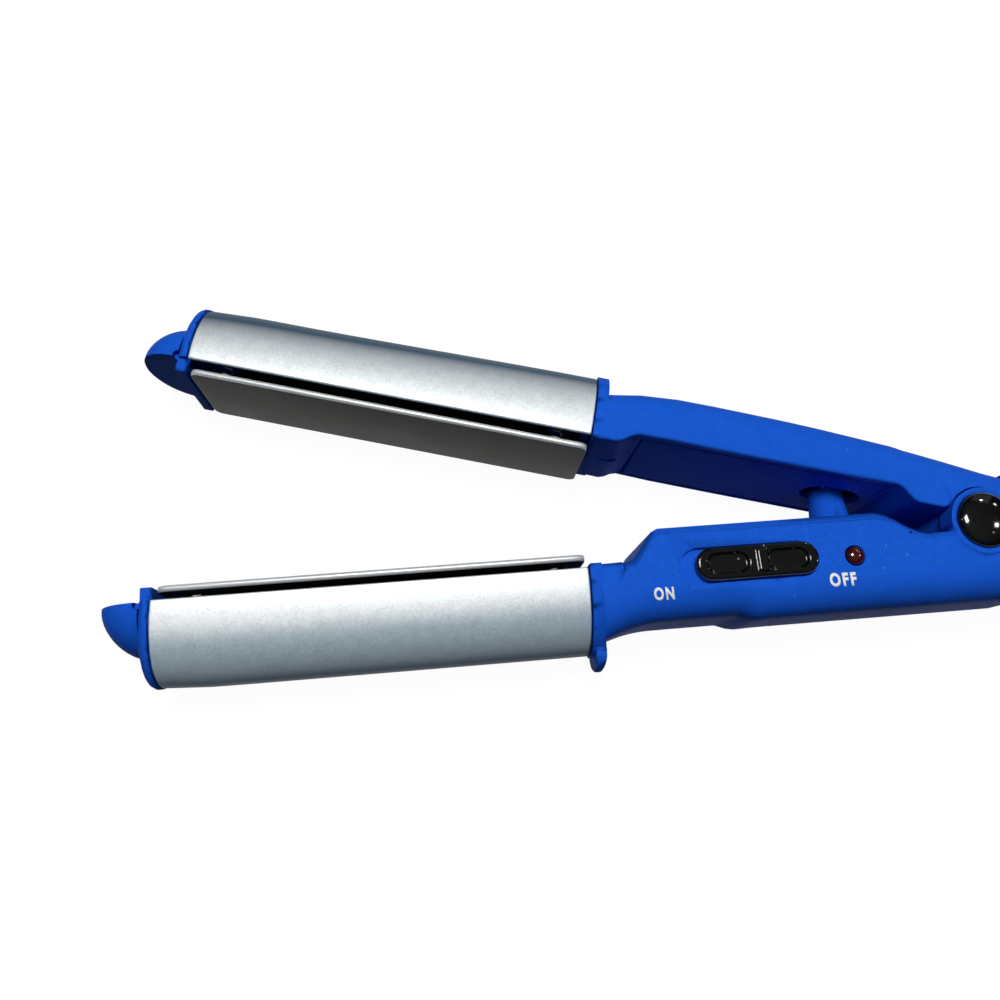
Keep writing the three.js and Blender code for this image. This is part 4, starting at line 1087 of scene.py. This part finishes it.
@dataclass
class Hinge(Builder):
    """The hinge's gloss cap and the return spring."""

    centre: Pair = (0.0, 0.0)
    seat: float = 24.05 * MM
    radius: float = 4.72 * MM
    skirt: float = 0.75 * MM
    rise: float = 1.25 * MM
    round_off: float = 0.1 * MM
    plug_radius: float = 3.0 * MM
    plug_depth: float = 0.5 * MM
    spring_foot: Place = (-21.0 * MM, -5.6 * MM, 12.0 * MM)
    spring_head: Place = (-18.9 * MM, 15.9 * MM, 12.0 * MM)

    def build(self) -> None:
        """Builds and dresses the hinge's pieces."""
        self.declare(self.dome(), "lower_arm", "gloss_black", "hinge_cap")
        self.declare_spring("return_spring", "return_coil", ("lower_arm", "upper_arm"),
                            (self.spring_foot, self.spring_head))

    def dome(self) -> Piece:
        """Builds the cap: a plug, a flat seat, a short upright skirt and a low dome."""
        foot = [[self.plug_radius, -self.plug_depth], [self.plug_radius, 0.0],
                [self.radius - self.round_off, 0.0], [self.radius, self.round_off]]
        return domed("hinge_dome", foot, (self.radius, self.skirt, self.rise),
                     (*self.centre, self.seat), (28, 96))


@dataclass
class SwitchAndLamp(Builder):
    """The slide switch's knob and the pilot lens."""

    knob_centre: Pair = (-40.1 * MM, -4.03 * MM)
    knob_length: float = 20.7 * MM
    knob_width: float = 5.5 * MM
    knob_bottom: float = 23.25 * MM
    knob_thickness: float = 1.7 * MM
    knob_bevel: float = 0.55 * MM
    dish_depth: float = 0.5 * MM
    bar_place: float = 0.75 * MM
    bar_height: float = 0.3 * MM
    bar_edge: Pair = (-1.0 * MM, -0.7 * MM)
    bar_end: Pair = (-2.0 * MM, -1.6 * MM)
    pad_radius: float = 1.75 * MM
    pad_half: float = 3.55 * MM
    pad_place: float = 5.05 * MM
    pad_edge: Pair = (-0.1 * MM, 0.35 * MM)
    stem_foot: float = 19.8 * MM
    stem_radius: float = 0.9 * MM
    stem_half: float = 0.6 * MM
    stem_overlap: float = 0.3 * MM
    lens_centre: Pair = (-23.3 * MM, -4.27 * MM)
    lens_radius: float = 1.5 * MM
    lens_seat: float = 21.6 * MM
    lens_shoulder: float = 23.9 * MM
    lens_rise: float = 0.75 * MM

    def build(self) -> None:
        """Builds and dresses the knob and the lens."""
        self.declare(self.knob(), "switch_knob", "gloss_black", "switch_knob")
        self.declare(self.lens(), "lower_arm", "red_lens", "pilot_lens")

    def knob(self) -> Piece:
        """Builds the slider's top: a rounded slot form with two dished pads and a bar between.

        Rings run across it, one at each place along its length, as wide as the slot outline is
        there. The height of a point is the top, less a quarter round near the rim, less a dish
        inside each pad's slot outline, plus the bar between the pads.

        Returns:
            The knob with its stem.
        """
        radius = self.knob_width / 2.0
        reach = self.knob_length / 2.0
        swing = np.linspace(-1.0, 1.0, 260)[:, None]
        x = reach * np.sin(swing * np.pi / 2.0) * 0.35 + reach * swing * 0.65
        over = np.maximum(np.abs(x) - (reach - radius), 0.0)
        half = np.sqrt(np.maximum(radius ** 2 - over ** 2, 1e-12))
        y = half * np.sin(np.linspace(-1.0, 1.0, 64) * np.pi / 2.0)
        bevel = self.knob_bevel
        near_rim = np.maximum(bevel - (radius - np.hypot(over, y)), 0.0)
        drop = bevel - np.sqrt(np.maximum(bevel ** 2 - near_rim ** 2, 0.0))
        pads = self.pad_mask(x, y, 1.0) + self.pad_mask(x, y, -1.0)
        bar = smooth_step(-np.abs(x - self.bar_place), *self.bar_edge)
        height = self.knob_thickness - drop - self.dish_depth * pads
        height = height + self.bar_height * bar * smooth_step(-np.abs(y), *self.bar_end)
        grid = np.concatenate([stacked(x, y, height), stacked(x, y[:, ::-1], 0.0)], axis=1)
        grid = grid + np.array([*self.knob_centre, self.knob_bottom])
        return fused(skin_grid("slide_knob", grid, 45.0), [self.stem()], Fusing.JOIN, 45.0)

    def stem(self) -> Piece:
        """Builds the upright slot-shaped stem that reaches from the knob into the switch."""
        turn = full_turn(48)
        half = np.where(np.cos(turn) > 0.0, self.stem_half, -self.stem_half)
        x = self.knob_centre[0] + (self.stem_radius * np.cos(turn) + half)
        y = self.knob_centre[1] + self.stem_radius * np.sin(turn)
        levels = np.array([self.stem_foot, self.knob_bottom + self.stem_overlap])[:, None]
        return skin_grid("stem", stacked(x, y, levels))

    def pad_mask(self, x: Array, y: Array, side: float) -> Array:
        """Gives 1 inside a finger pad's slot outline and 0 outside, with a soft edge."""
        off = np.abs(x - side * self.pad_place) - (self.pad_half - self.pad_radius)
        distance = np.hypot(np.maximum(off, 0.0), y) - self.pad_radius
        return smooth_step(-distance, *self.pad_edge)

    def lens(self) -> Piece:
        """Builds the pilot lens: an upright rod with a low domed head, its rim rounded."""
        shoulder = self.lens_shoulder - self.lens_seat
        return domed("pilot_window", [[self.lens_radius, 0.0]],
                     (self.lens_radius, shoulder, self.lens_rise),
                     (*self.lens_centre, self.lens_seat), (16, 64))


@dataclass
class Studio:
    """The floor, the lights and the camera at the photograph's view."""

    eye: Place = PHOTO_EYE
    right: Place = (0.99507333, -0.08498692, 0.05105185)
    up: Place = (0.0684871, 0.96157936, 0.26584704)
    back: Place = (-0.07168392, -0.2610409, 0.96266249)
    lens: float = 31.4435
    floor_half: float = 1.6
    floor_height: float = -0.0002
    aim: Place = (-0.07, 0.01, 0.01)
    cap_top: Place = (0.0, 0.0, 0.024)
    # Place, side length and watts of each lamp that gives a glint.
    glints: tuple[tuple[Place, float, float], ...] = (
        ((0.137, 0.174, 0.230), 0.016, 0.05), ((0.190, 0.010, 0.258), 0.02, 0.07),
        ((0.205, 0.120, 0.200), 0.01, 0.02), ((-0.198, 0.077, 0.241), 0.016, 0.04))

    def build(self) -> None:
        """Sets up the whole studio."""
        self.camera()
        self.floor()
        self.world()
        self.hang_lamps()
        bpy.context.scene.view_settings.view_transform = "Standard"

    def camera(self) -> None:
        """Places the camera where the photograph was taken from."""
        data = bpy.data.cameras.new("photo_camera")
        data.lens = self.lens
        data.sensor_width = 36.0
        data.clip_start = 0.005
        eye = add_object("photo_camera", data)
        turn = Matrix((self.right, self.up, self.back)).transposed()
        eye.matrix_world = Matrix.Translation(self.eye) @ turn.to_4x4()
        bpy.context.scene.camera = eye

    def floor(self) -> None:
        """Lays the pale floor, which shows white to the camera and keeps the iron's shadow."""
        mesh = bpy.data.meshes.new("studio_floor")
        corners = [[x * self.floor_half, y * self.floor_half, self.floor_height]
                   for x, y in ((-1, -1), (1, -1), (1, 1), (-1, 1))]
        mesh.from_pydata(corners, [], [[0, 1, 2, 3]])
        material = bpy.data.materials.new("studio_paper")
        nodes = emptied(material)
        rays = nodes.add("LightPath").outputs
        indirect = nodes.math("MAXIMUM", rays["Is Glossy Ray"], rays["Is Transmission Ray"])
        seen = nodes.math("MAXIMUM", rays["Is Camera Ray"], indirect)
        paper = nodes.add("BsdfDiffuse", Color=(0.05, 0.05, 0.05, 1.0))
        glow = nodes.add("Emission", Color=WHITE, Strength=nodes.math("MULTIPLY", seen, 0.97))
        both = nodes.add("AddShader", i0=paper.outputs[0], i1=glow.outputs[0])
        nodes.add("OutputMaterial", Surface=both.outputs[0])
        mesh.materials.append(material)
        add_object("studio_floor", mesh)

    def world(self) -> None:
        """Lights the room: bright overhead and darker toward the horizon, white to the camera."""
        world = bpy.data.worlds.new("studio_room")
        bpy.context.scene.world = world
        nodes = emptied(world)
        parts = nodes.add("SeparateXYZ", Vector=nodes.add("TexCoord").outputs["Generated"])
        sky = nodes.ramp(parts.outputs["Z"], [(0.0, 0.02), (0.55, 0.06), (0.85, 0.6), (1.0, 1.0)])
        room = nodes.add("Background", Color=sky, Strength=0.2)
        plain = nodes.add("Background", Color=WHITE)
        both = nodes.add("MixShader", Fac=nodes.add("LightPath").outputs["Is Camera Ray"],
                         i1=room.outputs[0], i2=plain.outputs[0])
        nodes.add("OutputWorld", Surface=both.outputs[0])

    def hang_lamps(self) -> None:
        """Hangs the square soft lamps: the key, the fill and the small ones for the glints."""
        spots = [("key_lamp", (-0.10, 0.12, 0.58), self.aim, 0.12, 2.5),
                 ("fill_lamp", (0.25, 0.4, 0.3), self.aim, 0.3, 0.1)]
        spots += [(f"glint_lamp_{i + 1}", at, self.cap_top, size, power)
                  for i, (at, size, power) in enumerate(self.glints)]
        for name, at, toward, size, power in spots:
            data = bpy.data.lights.new(name, "AREA")
            data.size = size
            data.energy = power
            turn = (Vector(toward) - Vector(at)).to_track_quat("-Z", "Y")
            lamp = add_object(name, data)
            lamp.matrix_world = Matrix.Translation(at) @ turn.to_matrix().to_4x4()


def main() -> None:
    """Builds the iron's sub-assemblies in order, then the studio."""
    logging.basicConfig(level=logging.INFO, format="%(name)s %(message)s")
    wardrobe = Wardrobe()
    wardrobe.dress_nodes()
    lower = ArmPlace(ArmSide.LOWER, 0.0)
    upper = ArmPlace(ArmSide.UPPER, 15.3, swell=0.045)
    Barrel(wardrobe, lower, "lower_arm", "lower_plate_set").build()
    Barrel(wardrobe, upper, "upper_arm", "upper_plate_set").build()
    Handle(wardrobe, lower, upper).build()
    Hinge(wardrobe).build()
    SwitchAndLamp(wardrobe).build()
    Studio().build()
    bpy.context.view_layer.update()


if __name__ == "__main__":
    main()
